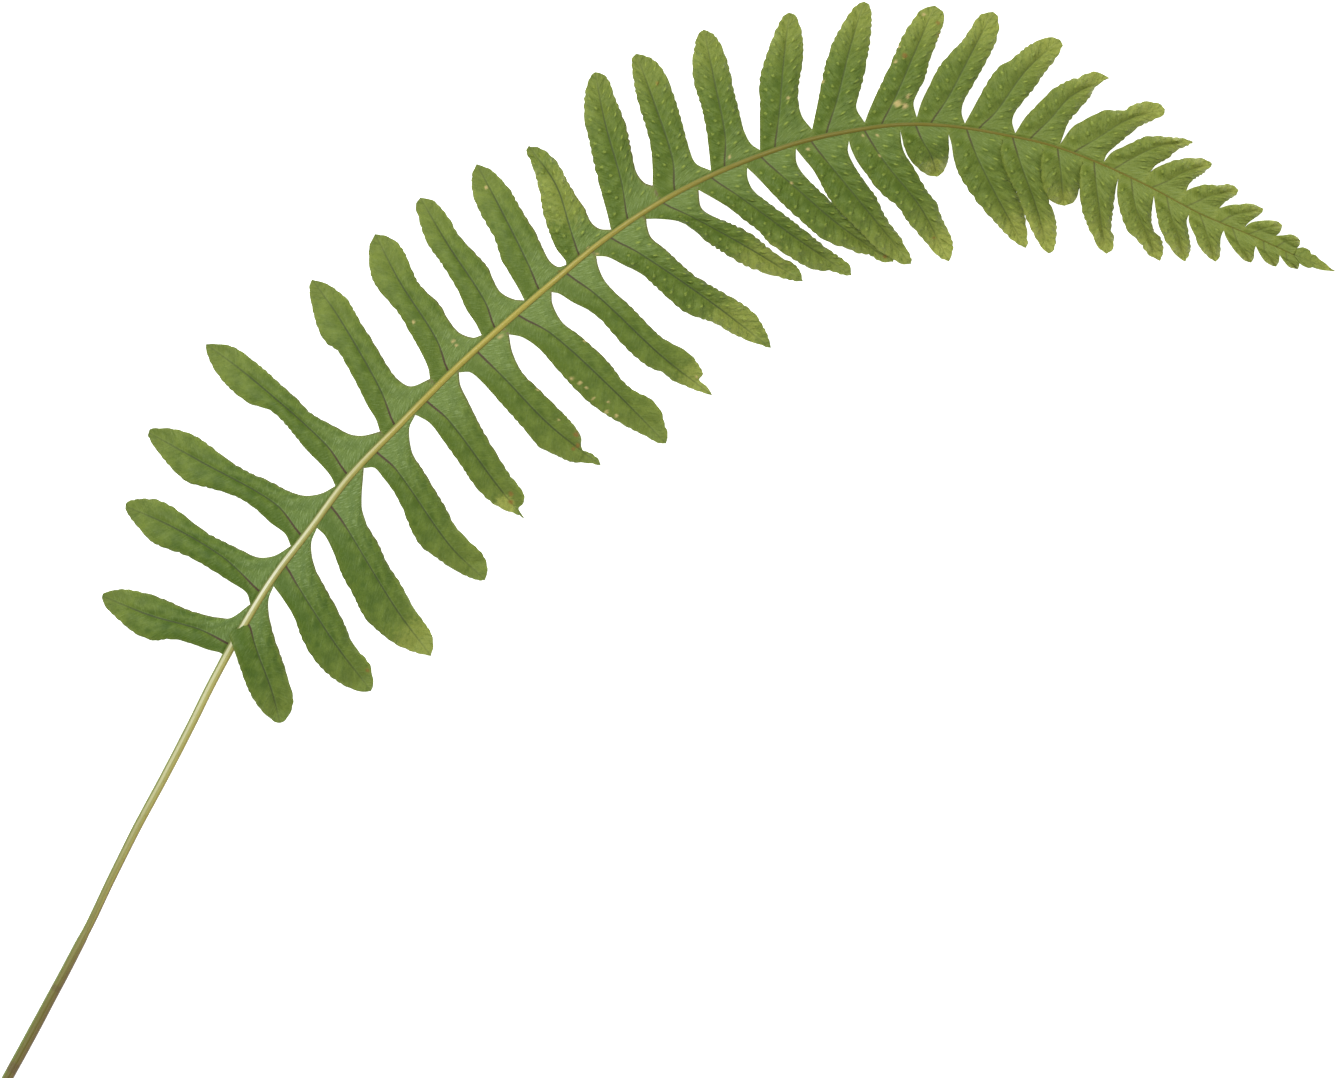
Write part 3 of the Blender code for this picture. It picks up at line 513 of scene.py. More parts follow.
class Lobe:
    """One lobe of the blade: a midrib with a margin on each side."""

    def __init__(self, row, side, index, before, after):
        root_x, near, far, tip, _, *self.outlines = row
        inset = ROOT_INSET * (after[0] - before[0])
        self.root_x = min(max(root_x, before[0] + inset), after[0] - inset)
        self.side = side
        self.index = index
        self.before = before
        self.after = after
        self.tip = tip
        self.key = index * 1.37 + side * 40
        start = flank(self.root_x, side, 0)
        points = [start.to_2d(), Vector(near), Vector(far), Vector(tip)]
        self.midrib = through(points)
        self.length = sum((b - a).length for a, b in zip(points, points[1:]))
        self.root_height = start.z
        self.plain = index < PLAIN_COUNT
        pitch = PLAIN_PITCH if self.plain else PITCH / 2
        self.pads = max(4, round(self.length / pitch)) / 2
        self.rows = max(LEAST_ROWS, round(self.length / ROW_PITCH))
        self.base = max(BASE_ROW, (self.part_beside(before[1]) + self.part_beside(after[1])) / 2)
        self.over_stalk = side == RIGHT_SIDE and index == 0
        self.crowded = blend(9, 12, index) if side == RIGHT_SIDE else 0.7 * blend(14, 18, index)
        self.small = blend(13, 6, self.length)

    def mid(self, part):
        """Plan point of the midrib at a part of its length."""
        return follow(self.midrib, part)

    def part_beside(self, point):
        """Part of the midrib that lies beside a notch, or 0 where it is close to the root."""
        parts = [MID_STEP * k for k in range(MID_STEPS)]
        part = min(parts, key=lambda part: (self.mid(part) - point.to_2d()).length)
        return max(0.0, part - NEAR_ROOT)

    def far_normal(self, part):
        """Unit normal of the midrib on the side of the frond's tip."""
        ahead, behind = self.mid(min(part + MID_STEP, 1.0)), self.mid(max(part - MID_STEP, 0.0))
        step = ahead - behind
        return Vector((step.y, -step.x)).normalized() * self.side

    def teeth(self, part, edge):
        """How far the fine teeth of a margin reach outwards."""
        size = blend(0.1, 0.4, part) * (1 - blend(0.97, 1.0, part))
        size *= 0.75 if self.plain else 1.0
        return scallops(part * self.length, self.key + edge) * size

    def margin(self, part, edge):
        """Plan point of a margin, from the bottom of its notch to the lobe's tip."""
        teeth = TOOTH_GAIN * self.teeth(part, edge) * (1 - self.small)
        return follow(self.margins[edge], part) + self.far_normal(part) * edge * teeth

    def pad(self, part):
        """How near a part is to the middle of a raised pad, from 0 to 1."""
        return 0.5 + 0.5 * math.cos(2 * math.pi * (part * self.pads - 0.5))

    def peak(self, part, across):
        """Small peaks in a zigzag along each half of the lobe, from 0 to 1."""
        edge = FAR if across > 0 else NEAR
        place = part * self.length / PEAK_PITCH + 0.3 * edge
        k = math.floor(place)
        shift = 0.3 * noise.noise((k * 1.3, self.key, 3 + edge))
        along = (place - k - 0.5 - shift) * PEAK_PITCH
        row = (0.4 if k % 2 else 0.68) + 0.12 * noise.noise((k * 2.1, self.key, edge))
        out = (abs(across) - row) * HALF_WIDTH
        length, width = (along + out) * 0.7, (along - out) * 0.7
        return math.exp(-(length * length * 0.5 + width * width * 2.0) / PEAK_SPREAD)

    def height(self, part, across):
        """Height of the underside: the lobe arches down from the rib to rest on its end."""
        fall = min(part / RESTS_FROM, 1.0)
        sink = self.root_height * (1 - 0.7 * self.small)
        spine = self.root_height - sink * fall ** FALL_POWER + ARCH * math.sin(math.pi * fall)
        open_part = blend(0.0, 0.2, fall) * (1 - blend(0.85, 1.0, fall))
        spread = abs(across)
        arch = math.sin(math.pi * min(spread, 1.0))
        twist = (TWIST + CROWDED_TWIST * self.crowded) * (1 - 0.5 * self.small)
        form = -EDGE_DROOP * across ** 4 - twist * across + CROWN * arch
        form -= CREASE * math.exp(-(spread * HALF_WIDTH / CREASE_WIDTH) ** 2)
        if self.side == RIGHT_SIDE:
            open_lap = blend(0.0, 0.12, part) * (1 - blend(0.93, 1.0, part))
            spine += LAP * self.crowded * max(0.0, -across) * open_lap
        if self.over_stalk and across < 0:
            spine += FLAP_LIFT * (1 - (1 + across) ** 2) * (1 - blend(0.08, 0.45, part))
        if not self.plain:
            form += DIMPLE * self.pad(part) * arch ** 2
            form += PEAK_HEIGHT * self.peak(part, across) * min(1.0, part * 8)
        ripple = RIPPLE * noise.noise((part * self.length * 0.3, across * 1.8, self.key))
        return max(0.0, spine + (form + ripple) * open_part * (1 - 0.5 * self.small))

    def base_points(self, across):
        """Inner edge of the blade in the stalk, and the outer curve of the lobe's base."""
        ends = {NEAR: self.before[0], FAR: self.after[0]}
        edge = FAR if across > 0 else NEAR
        x = self.root_x + (ends[edge] - self.root_x) * abs(across)
        inner = tucked(x, self.side)
        foot = (self.after if edge == FAR else self.before)[1]
        middle = self.mid(self.base)
        middle = Vector((middle.x, middle.y, self.height(0.0, 0.0)))
        outer = middle.lerp(foot, abs(across))
        if self.over_stalk and across < 0:
            inner = follow(self.flap, abs(across))
            outer.z = self.height(0.0, across)
        return inner, outer

    def base_length(self, across):
        """Distance from the stalk to the lobe's own first row."""
        inner, outer = self.base_points(across)
        return (outer - inner).to_2d().length

    def prepare(self):
        """Rows of both margins, and the free edge of a root that lies over the stalk."""
        if self.over_stalk:
            points = [Vector(point) for point in reversed(FLAP)]
            points[0] = tucked(self.root_x, self.side)
            self.flap = through(points)
            self.before = (self.before[0], Vector(FLAP[0]))
        self.margins = {}
        for edge, foot, outline in zip(EDGES, (self.before[1], self.after[1]), self.outlines):
            points = [Vector(point) for point in (*outline, self.tip)]
            self.margins[edge] = through([foot.to_2d()] + points)

    def row_points(self, row):
        """Part of the length, middle and margins of one row."""
        part = (row - BASE_ROWS) / self.rows
        middle = self.mid(self.base + (1 - self.base) * part)
        return part, middle, {edge: self.margin(part, edge) for edge in EDGES}

    def place(self, row, column, points):
        """Place of one grid point, with what row_points gave for its row."""
        across = spread_out(column)
        if row < BASE_ROWS:
            inner, outer = self.base_points(across)
            f = row / BASE_ROWS
            place = inner.lerp(outer, f)
            place.z = inner.z + (outer.z - inner.z) * blend(0.0, 0.7, f)
            return place
        part, middle, margins = points
        edge = FAR if across > 0 else NEAR
        plan = middle.lerp(margins[edge], abs(across))
        z = self.height(part, across)
        if row == BASE_ROWS:
            z = self.base_points(across)[1].z
        return Vector((plan.x, plan.y, z))


class EndLobe:
    """The blade's pointed end."""

    index = END_INDEX
    plain = False
    length = END_LENGTH
    rows = END_ROWS

    def __init__(self, left, right):
        self.feet = {LEFT_SIDE: left, RIGHT_SIDE: right}
        self.margins = {LEFT_SIDE: through([Vector(p) for p in END_LEFT]),
                        RIGHT_SIDE: through([Vector(p) for p in END_RIGHT])}

    def prepare(self):
        """Where the end lobe starts on the rib."""
        self.start = min(self.feet[LEFT_SIDE][0], self.feet[RIGHT_SIDE][0])

    def base_length(self, across):
        """A short stand-in for the distance from the stalk."""
        return abs(across)

    def row_points(self, _):
        """Nothing: its rows need no margins worked out before."""

    def place(self, row, column, _):
        """Place of one grid point."""
        across = spread_out(column)
        side = RIGHT_SIDE if across > 0 else LEFT_SIDE
        x, outer = self.feet[side]
        if row <= BASE_ROWS:
            f = row / BASE_ROWS
            middle = rib_frame(self.start)[0]
            inner = tucked(x, side)
            inner.z += TUCK_DROP
            plan = inner.lerp(outer, f)
            z = blade_height(self.start) - TUCK_DROP * (1 - f)
            spread = abs(across)
            return Vector((*middle.lerp(plan.to_2d(), spread), z + (plan.z - z) * spread))
        part = (row - BASE_ROWS) / self.rows
        centre_x = self.start + (TIP_X - self.start) * part
        middle = rib_frame(centre_x)[0]
        plan = middle.lerp(follow(self.margins[side], part), abs(across))
        z = blade_height(self.start) * (1 - part ** 1.5)
        z += 0.2 * math.sin(math.pi * abs(across)) * (1 - part)
        return Vector((plan.x, plan.y, max(0.0, z)))


def spread_out(column):
    """Place across a lobe, from -1 to 1, of a column: columns stand closer at the midrib."""
    u = column * 2 / COLUMNS - 1
    return math.copysign(abs(u) ** COLUMN_POWER, u)


def near_mark(plan, marks):
    """Strength of the nearest mark at a plan place, from 0 to 1."""
    best = 0.0
    for x, y, radius in marks:
        far = math.hypot(plan.x - x, plan.y - y)
        if far < radius * 2.2:
            ragged = far * (1 + 0.5 * noise.noise((plan.x * 1.6, plan.y * 1.6, 5)))
            best = max(best, 1 - blend(radius * 0.55, radius * 1.25, ragged))
    return best


def add_patch(bm, lobe, layers):
    """Bend a plain grid into the shape of one lobe and note what its colours need."""
    uv = bm.loops.layers.uv["leaf"]
    total = lobe.rows + BASE_ROWS
    lobe.prepare()
    grid = bmesh.ops.create_grid(bm, x_segments=COLUMNS, y_segments=total, size=1)["verts"]
    rows = [lobe.row_points(row) for row in range(total + 1)]
    middles = [lobe.place(row, COLUMNS // 2, rows[row]).to_2d() for row in range(total + 1)]
    facts = {}
    for vert in grid:
        column = round((vert.co.x + 1) * COLUMNS / 2)
        row = round((vert.co.y + 1) * total / 2)
        vert.co = lobe.place(row, column, rows[row])
        across = spread_out(column)
        part = max(0.0, (row - BASE_ROWS) / lobe.rows)
        along = part * lobe.length - lobe.base_length(across) * max(0.0, 1 - row / BASE_ROWS)
        out = math.copysign((vert.co.to_2d() - middles[row]).length, across)
        facts[vert] = (along, out)
        for mask, value in masks_of(vert.co, lobe, part, across, row).items():
            vert[layers[mask]] = value
    for face in {face for vert in grid for face in vert.link_faces}:
        for loop in face.loops:
            loop[uv].uv = facts[loop.vert]


def masks_of(plan, lobe, part, across, row):
    """Colour masks at one place of a lobe."""
    index, spread = lobe.index, abs(across)
    warm = (0.24 + 0.36 * blend(7, 14, index)) * blend(0.4, 1.0, part)
    warm += 0.15 * blend(0.75, 1.0, spread) + 0.1 * blend(1, 5, index)
    warm += 0.55 * blend(12, 22, index) * (0.7 + 0.3 * part)
    warm += near_mark(plan, YELLOW_MARKS) + 0.4 * near_mark(plan, LIGHT_MARKS)
    # Painted sheen: lighter towards the lobe's root, strongest on its far half
    painted_sheen = (1 - blend(0.0, 0.42, part)) * (0.9 if across > 0 else 0.2)
    dark = 0.85 - 0.25 * blend(7, 12, index) - 0.35 * blend(14, 22, index)
    stub = 0.8 - 0.3 * blend(4, 9, index) - 0.3 * blend(16, 20, index)
    brown = 1 - blend(0.4, 0.8, part) if across > 0 and index < BROWN_COUNT else 0.0
    ribbed = (0.25 if lobe.plain else 1.0) * blend(0.0, 0.1, part)
    dot = 0.0
    if not lobe.plain and row > BASE_ROWS and index < END_INDEX:
        dot = lobe.peak(part, across) * (1 - blend(0.9, 1.0, part))
    return {
        "cream": near_mark(plan, CREAM_MARKS),
        "rust": near_mark(plan, RUST_MARKS),
        "warm": min(1.0, warm),
        "painted_sheen": 0.42 * painted_sheen * (1 - 0.6 * blend(6, 14, index)),
        # Painted shade: darker towards the lobe's root on its near half
        "painted_shade": (1 - blend(0.05, 0.6, part)) * blend(0.1, 0.5, -across),
        "midrib": dark * (1 - 0.7 * blend(0.6, 1.0, part)),
        "stub": stub * (1 - blend(0.02, 0.16, part)),
        "edge": blend(0.93, 1.0, spread) * brown,
        "dot": dot,
        "ribbed": ribbed * blend(0.08, 0.25, spread),
    }


def lobes_of(table, start, side):
    """The lobes of one side, each sharing the notch between it and the next."""
    notches = [notch(start, side)] + [notch(row[4], side) for row in table]
    return [Lobe(row, side, k, notches[k], notches[k + 1]) for k, row in enumerate(table)]


def add_object(name, data):
    """A new object in the scene."""
    thing = bpy.data.objects.new(name, data)
    bpy.context.scene.collection.objects.link(thing)
    return thing


def add_mesh(bm, name, material):
    """An object made of a body and one material."""
    mesh = bpy.data.meshes.new(name)
    bm.to_mesh(mesh)
    bm.free()
    mesh.materials.append(material)
    return add_object(name, mesh)


def finish_mesh(bm, name, material):
    """Put a body into the row frame, in metres, as an object that rides on the root."""
    bmesh.ops.translate(bm, verts=bm.verts[:], vec=(-SHEET_CENTRE[0], -SHEET_CENTRE[1], 0))
    bmesh.ops.scale(bm, verts=bm.verts[:], vec=(MM, MM, MM))
    thing = add_mesh(bm, name, material)
    thing.data.shade_smooth()
    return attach(thing, "root")


def make_blade(name, lobes, material):
    """One closed sheet of several lobes."""
    bm = bmesh.new()
    bm.loops.layers.uv.new("leaf")
    for mask in MASKS:
        bm.verts.layers.float.new(mask)
    layers = {mask: bm.verts.layers.float[mask] for mask in MASKS}
    for lobe in lobes:
        add_patch(bm, lobe, layers)
    bmesh.ops.remove_doubles(bm, verts=bm.verts[:], dist=BLADE_SEAM)
    bmesh.ops.dissolve_degenerate(bm, edges=bm.edges[:], dist=BLADE_SLIVER)
    bmesh.ops.recalc_face_normals(bm, faces=bm.faces[:])
    upper = bmesh.ops.extrude_face_region(bm, geom=bm.faces[:], use_keep_orig=True)["geom"]
    raised = {item for item in upper if isinstance(item, bmesh.types.BMVert)}
    for vert in bm.verts:
        vert[layers["under"]] = 0.0 if vert in raised else 1.0
    bmesh.ops.translate(bm, verts=list(raised), vec=(0, 0, THICKNESS))
    bmesh.ops.translate(bm, verts=bm.verts[:], vec=(0, 0, LIFT))
    bmesh.ops.recalc_face_normals(bm, faces=bm.faces[:])
    return finish_mesh(bm, name, material)


def stalk_shape(x, turn):
    """Radius of the stalk at a place and a turn from its top, with its two grooves."""
    radius = follow(STALK_RADIUS, x)
    groove = sum(depth * math.exp(-((turn - place) / width) ** 2)
                 for place, width, depth in STALK_GROOVES)
    uneven = STALK_UNEVEN * noise.noise((x * 0.35, turn * 0.8, 2))
    return radius * (1 - groove + uneven)


def make_stalk(material):
    """Stalk and rib, as one closed tapering tube."""
    places = [RIB[0][0]]
    while places[-1] < STALK_END:
        places.append(places[-1] + STALK_PITCH * rib_frame(places[-1])[1].x)
    places[-1] = STALK_END
    bm = bmesh.new()
    uv = bm.loops.layers.uv.new("stalk")
    rows = len(places) - 1
    grid = bmesh.ops.create_grid(bm, x_segments=STALK_SIDES, y_segments=rows, size=1)["verts"]
    facts = {}
    for vert in grid:
        column = round((vert.co.x + 1) * STALK_SIDES / 2)
        row = round((vert.co.y + 1) * rows / 2)
        x = places[row]
        turn = (column / STALK_SIDES * 2 - 1) * math.pi
        centre, _, normal = rib_frame(x)
        radius = stalk_shape(x, turn)
        plan = centre - normal * radius * math.sin(turn)
        height = follow(STALK_HEIGHT, x)
        vert.co = (plan.x, plan.y, height + min(radius, height) * math.cos(turn))
        facts[vert] = (x, turn)
    for face in bm.faces:
        for loop in face.loops:
            loop[uv].uv = facts[loop.vert]
    bmesh.ops.remove_doubles(bm, verts=bm.verts[:], dist=STALK_SEAM)
    ends = [edge for edge in bm.edges if edge.is_boundary]
    bmesh.ops.holes_fill(bm, edges=ends, sides=0)
    bmesh.ops.triangulate(bm, faces=[face for face in bm.faces if len(face.verts) > 4])
    bmesh.ops.recalc_face_normals(bm, faces=bm.faces[:])
    return finish_mesh(bm, "fine_stalk", material)


def make_sori(lobes, material):
    """Round spore cases under the raised pads of the upper lobes."""
    bm = bmesh.new()
    for lobe in lobes:
        if lobe.plain or lobe.length < SORUS_LOBE:
            continue
        for k in range(int(lobe.pads)):
            for edge in EDGES:
                add_sorus(bm, lobe, (k + 0.5) / lobe.pads, edge)
    return finish_mesh(bm, "sori", material)


def add_sorus(bm, lobe, part, edge):
    """One spore case under a pad, if the blade is wide and high enough there."""
    across = SORUS_ROW * edge
    width = (lobe.margin(part, edge) - lobe.mid(part)).length
    reach = SORUS_REACH / lobe.length
    height = min(lobe.height(max(0.0, part + a * reach), across + b * SORUS_SIZE)
                 for a in (-1, 0, 1) for b in (-1, 0, 1))
    if height < SORUS_CLEAR or part > SORUS_LAST or width < SORUS_WIDTH:
        return
    plan = lobe.mid(lobe.base + (1 - lobe.base) * part).lerp(lobe.margin(part, edge), SORUS_ROW)
    ball = bmesh.ops.create_uvsphere(bm, u_segments=10, v_segments=6, radius=1.0)["verts"]
    size = min(1.0, width * SORUS_SIZE)
    bmesh.ops.scale(bm, verts=ball, vec=(size, size, SORUS_FLAT))
    bmesh.ops.translate(bm, verts=ball, vec=(plan.x, plan.y, height - SORUS_SINK + LIFT))


class Painter:
    """A new node group with what a material takes, and short ways to fill it."""

    OUTPUTS = {"Colour": "NodeSocketColor", "Roughness": "NodeSocketFloat",
               "Relief": "NodeSocketFloat"}

    def __init__(self, name):
        self.tree = bpy.data.node_groups.new(name, "ShaderNodeTree")
        for output, kind in self.OUTPUTS.items():
            self.tree.interface.new_socket(name=output, in_out="OUTPUT", socket_type=kind)

    def finish(self, *values):
        """Give the group its colour, roughness and relief."""
        end = self.tree.nodes.new("NodeGroupOutput")
        for output, value in zip(self.OUTPUTS, values):
            self.give(end, output, value)
        return self.tree

    def node(self, kind, **inputs):
        """A node with the given inputs."""
        node = self.tree.nodes.new(kind)
        for name, value in inputs.items():
            self.give(node, name.replace("_", " "), value)
        return node

    def give(self, node, name, value):
        """Feed an input from another node, or set it."""
        socket = node.inputs[name]
        if isinstance(value, bpy.types.NodeSocket):
            self.tree.links.new(value, socket)
        else:
            socket.default_value = value

    def math(self, operation, a, b=0.0):
        node = self.tree.nodes.new("ShaderNodeMath")
        node.operation = operation
        self.give(node, 0, a)
        self.give(node, 1, b)
        return node.outputs[0]

    def mix(self, factor, a, b):
        node = self.tree.nodes.new("ShaderNodeMix")
        node.data_type = "RGBA"
        self.give(node, 0, factor)
        self.give(node, 6, a)
        self.give(node, 7, b)
        return node.outputs[2]

    def layered(self, colour, layers):
        """A colour with others laid over it, each by its own factor."""
        for factor, tint in layers:
            colour = self.mix(factor, colour, tint)
        return colour

    def mask(self, name):
        node = self.tree.nodes.new("ShaderNodeAttribute")
        node.attribute_name = name
        return node.outputs["Fac"]

    def noise(self, vector, scale, detail=3.0, rough=0.55):
        node = self.node("ShaderNodeTexNoise", Scale=scale, Detail=detail, Roughness=rough)
        self.tree.links.new(vector, node.inputs["Vector"])
        return node.outputs["Fac"]

    def ramp(self, value, low, high):
        """Smooth step from 0 at low to 1 at high, where high may also be the smaller one."""
        node = self.tree.nodes.new("ShaderNodeMapRange")
        node.interpolation_type = "SMOOTHSTEP"
        self.give(node, "Value", value)
        self.give(node, "From Min", low)
        self.give(node, "From Max", high)
        return node.outputs[0]

    def product(self, *values):
        result = values[0]
        for value in values[1:]:
            result = self.math("MULTIPLY", result, value)
        return result

    def band(self, value, low, high, soft):
        """1 between low and high, fading over soft on both sides."""
        above = self.ramp(value, low - soft, low + soft)
        return self.product(above, self.ramp(value, high + soft, high - soft))

    def uv(self, name):
        """The two coordinates of a UV map."""
        node = self.tree.nodes.new("ShaderNodeUVMap")
        node.uv_map = name
        split = self.tree.nodes.new("ShaderNodeSeparateXYZ")
        self.tree.links.new(node.outputs[0], split.inputs[0])
        return split.outputs[0], split.outputs[1]

    def vector(self, x, y):
        return self.node("ShaderNodeCombineXYZ", X=x, Y=y).outputs[0]


LEAF = (0.098, 0.15, 0.018, 1)
LEAF_DARK = (0.047, 0.09, 0.008, 1)
# Painted sheen near the lobes' roots
LEAF_SHEEN = (0.175, 0.26, 0.075, 1)
# Light streaks, mostly painted sheen
LEAF_STREAK_SHEEN = (0.29, 0.38, 0.16, 1)
# Painted shade on the near halves of the lobes' roots
LEAF_SHADE = (0.052, 0.098, 0.004, 1)
LEAF_WARM = (0.28, 0.312, 0.058, 1)
LEAF_DOT = (0.29, 0.36, 0.06, 1)
LEAF_UNDER = (0.2, 0.27, 0.12, 1)
MIDRIB = (0.045, 0.06, 0.02, 1)
# Painted highlight beside the midrib's groove
MIDRIB_HIGHLIGHT = (0.2, 0.3, 0.12, 1)
STUB = (0.06, 0.03, 0.02, 1)
EDGE = (0.13, 0.09, 0.05, 1)
CREAM = (0.42, 0.34, 0.13, 1)
RUST = (0.2, 0.11, 0.02, 1)


def leaf_group():
    """Colour, roughness and relief of the blade, by millimetres along and out from a midrib."""
    p = Painter("leaf look")
    along, across = p.uv("leaf")
    out = p.math("ABSOLUTE", across)
    phase = p.math("SUBTRACT", along, p.math("MULTIPLY", out, 0.8))
    streaks = p.noise(p.vector(p.product(phase, 3.2), p.product(across, 0.6)), 1.0, 3.0)
    place = p.vector(along, across)
    patches = p.noise(place, 0.4, 3.0)
    mottle = p.noise(place, 1.5, 4.0, 0.65)
    grain = p.noise(place, 6.0, 2.0)
    bend = p.product(p.noise(place, 0.8, 2.0), 7.0)
    # Vein lines between the raised pads; their valleys are darkened as painted shade and also sink the
    # relief
    vein_shade = p.math("SINE", p.math("ADD", p.product(phase, 2 * math.pi / PEAK_PITCH), bend))
    vein_shade = p.product(p.ramp(vein_shade, -0.2, -1.0), p.mask("ribbed"))
    # Light streaks: faint everywhere as fibre texture, much stronger where the painted sheen lies
    streak_sheen = p.math("ADD", 0.12, p.product(p.mask("painted_sheen"), 1.2))
    colour = p.layered(p.mix(p.ramp(patches, 0.3, 0.7), LEAF_DARK, LEAF), [
        # Painted shade on the near half near the root
        (p.mask("painted_shade"), LEAF_SHADE),
        # Painted sheen on the far half near the root
        (p.mask("painted_sheen"), LEAF_SHEEN),
        (p.mask("warm"), LEAF_WARM),
        (p.product(p.ramp(mottle, 0.48, 0.66), 0.33), LEAF_DARK),
        # Painted shade in the vein valleys
        (p.product(vein_shade, 0.2), LEAF_DARK),
        (p.product(p.ramp(streaks, 0.5, 0.72), streak_sheen), LEAF_STREAK_SHEEN),
        (p.product(p.ramp(streaks, 0.46, 0.3), 0.2), LEAF_DARK),
        (p.product(p.ramp(grain, 0.5, 0.7), 0.35), LEAF_DARK),
        # Painted highlight: a pale line just beside the midrib on its far side
        (p.product(p.band(across, 0.17, 0.36, 0.1), p.mask("midrib"), 0.2), MIDRIB_HIGHLIGHT),
        (p.product(p.ramp(out, 0.22, 0.08), p.mask("midrib")), MIDRIB),
        (p.product(p.ramp(out, 0.3, 0.14), p.mask("stub")), STUB),
        (p.product(p.ramp(p.mask("dot"), 0.35, 0.85), 0.62), LEAF_DOT),
        (p.product(p.mask("edge"), 0.7), EDGE),
        (p.mask("cream"), CREAM),
        (p.product(p.mask("rust"), 0.8), RUST),
        (p.mask("under"), LEAF_UNDER),
    ])
    relief = p.math("ADD", p.product(streaks, 0.6), p.product(mottle, 0.5))
    relief = p.math("SUBTRACT", relief, p.product(vein_shade, 0.5))
    relief = p.math("ADD", relief, p.product(p.mask("dot"), 1.1))
    return p.finish(colour, p.math("ADD", 0.4, p.product(mottle, 0.25)), relief)


# Painted highlight on the stalk's left flank
STALK_HIGHLIGHT = (0.58, 0.58, 0.42, 1)
STALK_CREAM = (0.36, 0.35, 0.12, 1)
STALK_STRAW = (0.33, 0.28, 0.05, 1)
STALK_OLIVE = (0.1, 0.088, 0.008, 1)
STALK_GREEN = (0.13, 0.17, 0.045, 1)
STALK_BROWN = (0.1, 0.065, 0.03, 1)
SORUS_DARK = (0.2, 0.07, 0.015, 1)
SORUS_BRIGHT = (0.55, 0.27, 0.06, 1)

# Scars across the stalk: place, half length and strength
STALK_SCARS = [(2.7, 0.5, 0.55), (11.3, 0.3, 0.45)]
SCAR_SOFT = 0.15
SORUS_GRAIN = 5200.0
BUMP_STRENGTH = 0.7


def stalk_group():
    """Colour, roughness and relief of the stalk, by place along it and turn round it."""
    p = Painter("stalk look")
    along, turn = p.uv("stalk")
    across = p.math("SINE", turn)
    fibres = p.noise(p.vector(p.product(along, 0.15), p.product(turn, 3.5)), 1.0, 3.0)
    spots = p.noise(p.vector(p.product(along, 1.1), p.product(turn, 1.2)), 1.0, 3.0)
    # Painted highlight: a whitish band on the stalk's left flank and top, from about 20 to 90 mm along
    gloss_highlight = p.math("ADD", 0.05, p.product(p.ramp(along, 20.0, 40.0), 0.42))
    gloss_highlight = p.math("ADD", gloss_highlight, p.product(p.band(along, 49.0, 60.0, 5.0), 0.5))
    gloss_highlight = p.product(gloss_highlight, p.ramp(along, 90.0, 62.0))
    # Brown on the right flank: partly the stalk's own colour, partly painted shade on the side away from
    # the light
    brown = p.math("SUBTRACT", 0.9, p.product(p.ramp(along, 20.0, 34.0), 0.5))
    layers = [
        (p.ramp(along, 62.0, 85.0), STALK_STRAW),
        (p.product(p.ramp(along, 100.0, 165.0), 0.8), STALK_OLIVE),
        # Painted highlight on the left flank
        (p.product(p.band(across, -0.62, 0.02, 0.14), gloss_highlight), STALK_HIGHLIGHT),
        (p.product(p.band(across, 0.32, 0.5, 0.08), p.ramp(along, 50.0, 30.0), 0.5), STALK_CREAM),
        (p.product(p.ramp(across, 0.4, 0.7), p.ramp(along, 125.0, 90.0), 0.8), STALK_STRAW),
        (p.product(p.ramp(across, -0.5, -0.72), 0.85), STALK_GREEN),
        # Brown on the right flank and, low down, on the right half: partly own colour, partly painted
        # shade
        (p.product(p.ramp(across, 0.66, 0.85), brown), STALK_BROWN),
        (p.product(p.ramp(across, 0.0, 0.5), p.ramp(along, 22.0, 12.0), 0.7), STALK_BROWN),
        (p.product(p.ramp(fibres, 0.5, 0.72), 0.35), STALK_OLIVE),
        (p.product(p.ramp(spots, 0.62, 0.74), 0.3), STALK_BROWN),
    ]
    for place, reach, strength in STALK_SCARS:
        scar = p.band(along, place - reach, place + reach, SCAR_SOFT)
        layers.append((p.product(scar, strength), STALK_BROWN))
    layers.append((p.ramp(along, -0.2, -0.8), STALK_BROWN))
    body = p.layered(p.mix(p.ramp(along, 2.0, 44.0), STALK_OLIVE, STALK_CREAM), layers)
    roughness = p.math("ADD", 0.26, p.product(fibres, 0.2))
    return p.finish(body, roughness, p.math("ADD", fibres, p.product(spots, 0.4)))


def sorus_group():
    """Grainy orange-brown of the spore cases."""
    p = Painter("sorus look")
    place = p.tree.nodes.new("ShaderNodeTexCoord").outputs["Object"]
    grain = p.noise(place, SORUS_GRAIN, 2.0)
    return p.finish(p.mix(p.ramp(grain, 0.35, 0.65), SORUS_DARK, SORUS_BRIGHT), 0.8, grain)


def principled(name, inputs):
    """A material with plain inputs, and its shader node."""
    made = bpy.data.materials.new(name)
    made.use_nodes = True
    shader = made.node_tree.nodes["Principled BSDF"]
    for socket, value in inputs.items():
        shader.inputs[socket].default_value = value
    return made, shader


def look_material(name, look, depth, shine):
    """A material fed by a look group, with relief of the given depth in metres."""
    made, shader = principled(name, {"Specular IOR Level": shine})
    tree = made.node_tree
    inner = tree.nodes.new("ShaderNodeGroup")
    inner.node_tree = look
    bump = tree.nodes.new("ShaderNodeBump")
    bump.inputs["Distance"].default_value = depth
    bump.inputs["Strength"].default_value = BUMP_STRENGTH
    tree.links.new(inner.outputs["Relief"], bump.inputs["Height"])
    tree.links.new(inner.outputs["Colour"], shader.inputs["Base Color"])
    tree.links.new(inner.outputs["Roughness"], shader.inputs["Roughness"])
    tree.links.new(bump.outputs["Normal"], shader.inputs["Normal"])
    return made


def surface_material():
    """Matt white that also glows a little, for the surface below."""
    inputs = {"Base Color": SURFACE_WHITE, "Roughness": 0.9, "Emission Color": WHITE,
              "Emission Strength": SURFACE_GLOW}
    return principled("surface", inputs)[0]


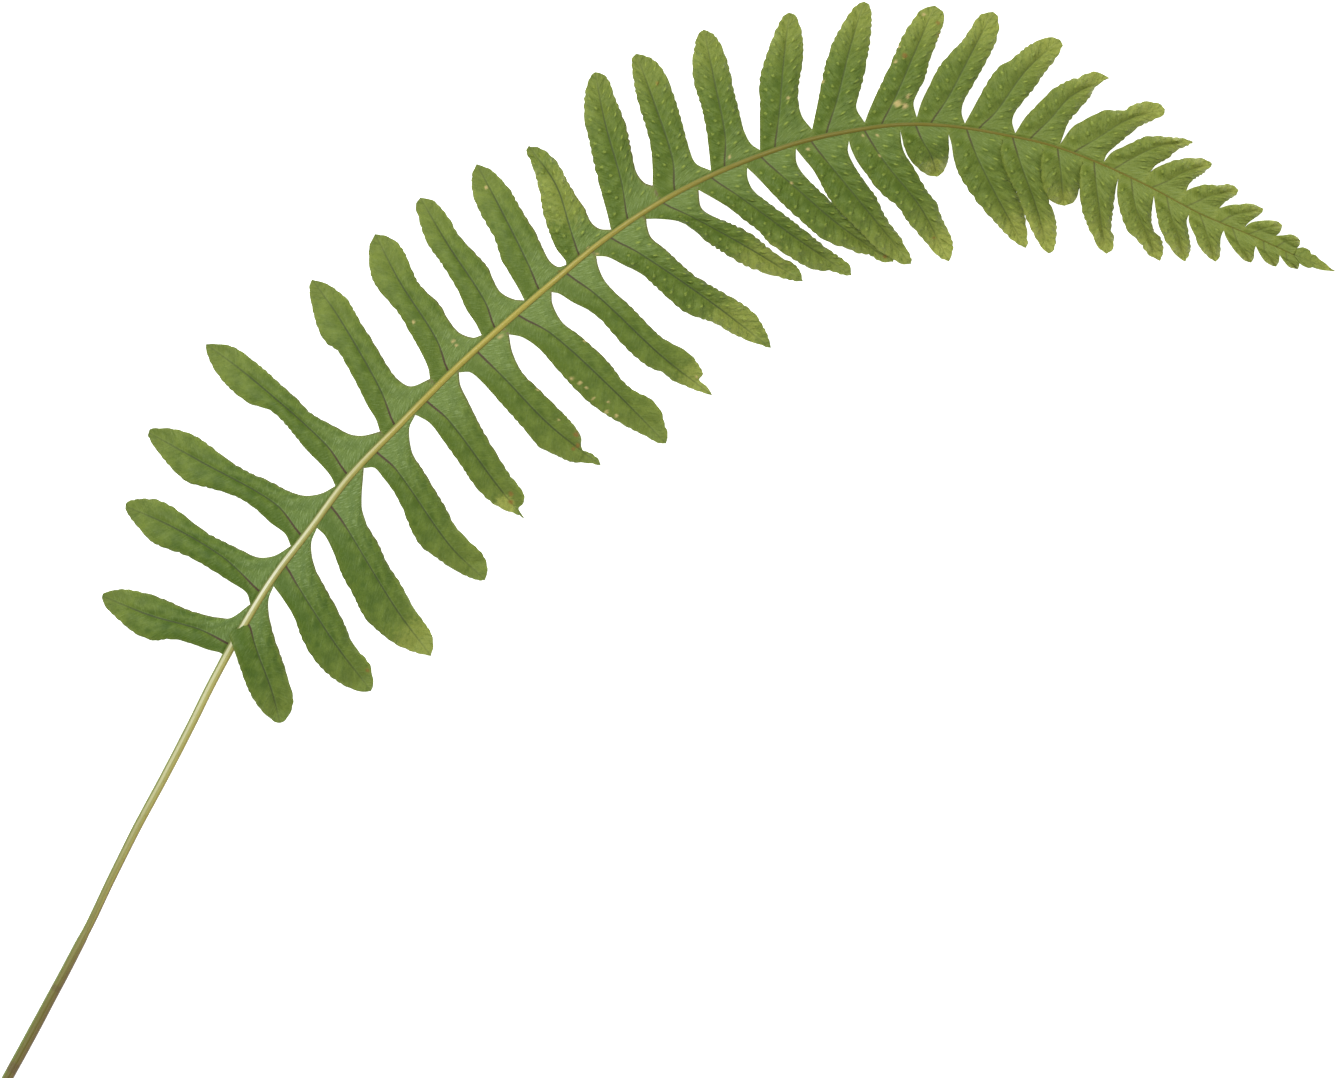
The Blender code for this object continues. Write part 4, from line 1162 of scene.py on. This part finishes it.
def make_stage():
    """White surface, soft light from all round and two soft lamps above."""
    bm = bmesh.new()
    bmesh.ops.create_grid(bm, x_segments=1, y_segments=1, size=SURFACE_REACH)
    bmesh.ops.translate(bm, verts=bm.verts[:], vec=(0, 0, -SURFACE_DROP))
    add_mesh(bm, "surface", surface_material())
    world = bpy.data.worlds.new("room")
    bpy.context.scene.world = world
    world.use_nodes = True
    light = world.node_tree.nodes["Background"].inputs
    light["Color"].default_value = WHITE
    light["Strength"].default_value = ROOM_LIGHT
    for name, place, size, power in LAMPS:
        add_lamp(name, place, size, power)


def add_lamp(name, place, size, power):
    """Square lamp that shines on the middle of the frond."""
    lamp = bpy.data.lights.new(name, "AREA")
    lamp.size = size
    lamp.energy = power
    thing = add_object(name, lamp)
    thing.location = place
    thing.rotation_euler = (-Vector(place)).to_track_quat("-Z", "Y").to_euler()


def make_camera():
    """Long lens straight above the middle of the photo's frame."""
    data = bpy.data.cameras.new("camera")
    data.lens = LENS
    data.sensor_width = SENSOR
    data.clip_end = CLIP_END
    thing = add_object("camera", data)
    away = PHOTO_WIDTH * MM * data.lens / data.sensor_width
    thing.location = ((PHOTO_CENTRE[0] - SHEET_CENTRE[0]) * MM,
                      (PHOTO_CENTRE[1] - SHEET_CENTRE[1]) * MM, away)
    bpy.context.scene.camera = thing
    bpy.context.scene.view_settings.view_transform = "Standard"


def main():
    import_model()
    left = lobes_of(LEFT, LEFT_START, LEFT_SIDE)
    right = lobes_of(RIGHT, RIGHT_START, RIGHT_SIDE)
    end = EndLobe(left[-1].after, right[-1].after)
    leaf = look_material("leaf", leaf_group(), 0.3 * MM, 0.18)
    pieces = {
        "blade_left_low": left[:LEFT_LOW],
        "blade_left_high": left[LEFT_LOW:],
        "blade_right_low": right[:RIGHT_LOW],
        "blade_right_high": right[RIGHT_LOW:] + [end],
    }
    for name, lobes in pieces.items():
        piece = make_blade(name, lobes, leaf)
        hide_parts("blade")
    stalk = make_stalk(look_material("stalk", stalk_group(), 0.1 * MM, 0.2))
    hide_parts("stalk")
    sori = make_sori(left + right, look_material("sorus", sorus_group(), 0.2 * MM, 0.2))
    make_stage()
    make_camera()


main()
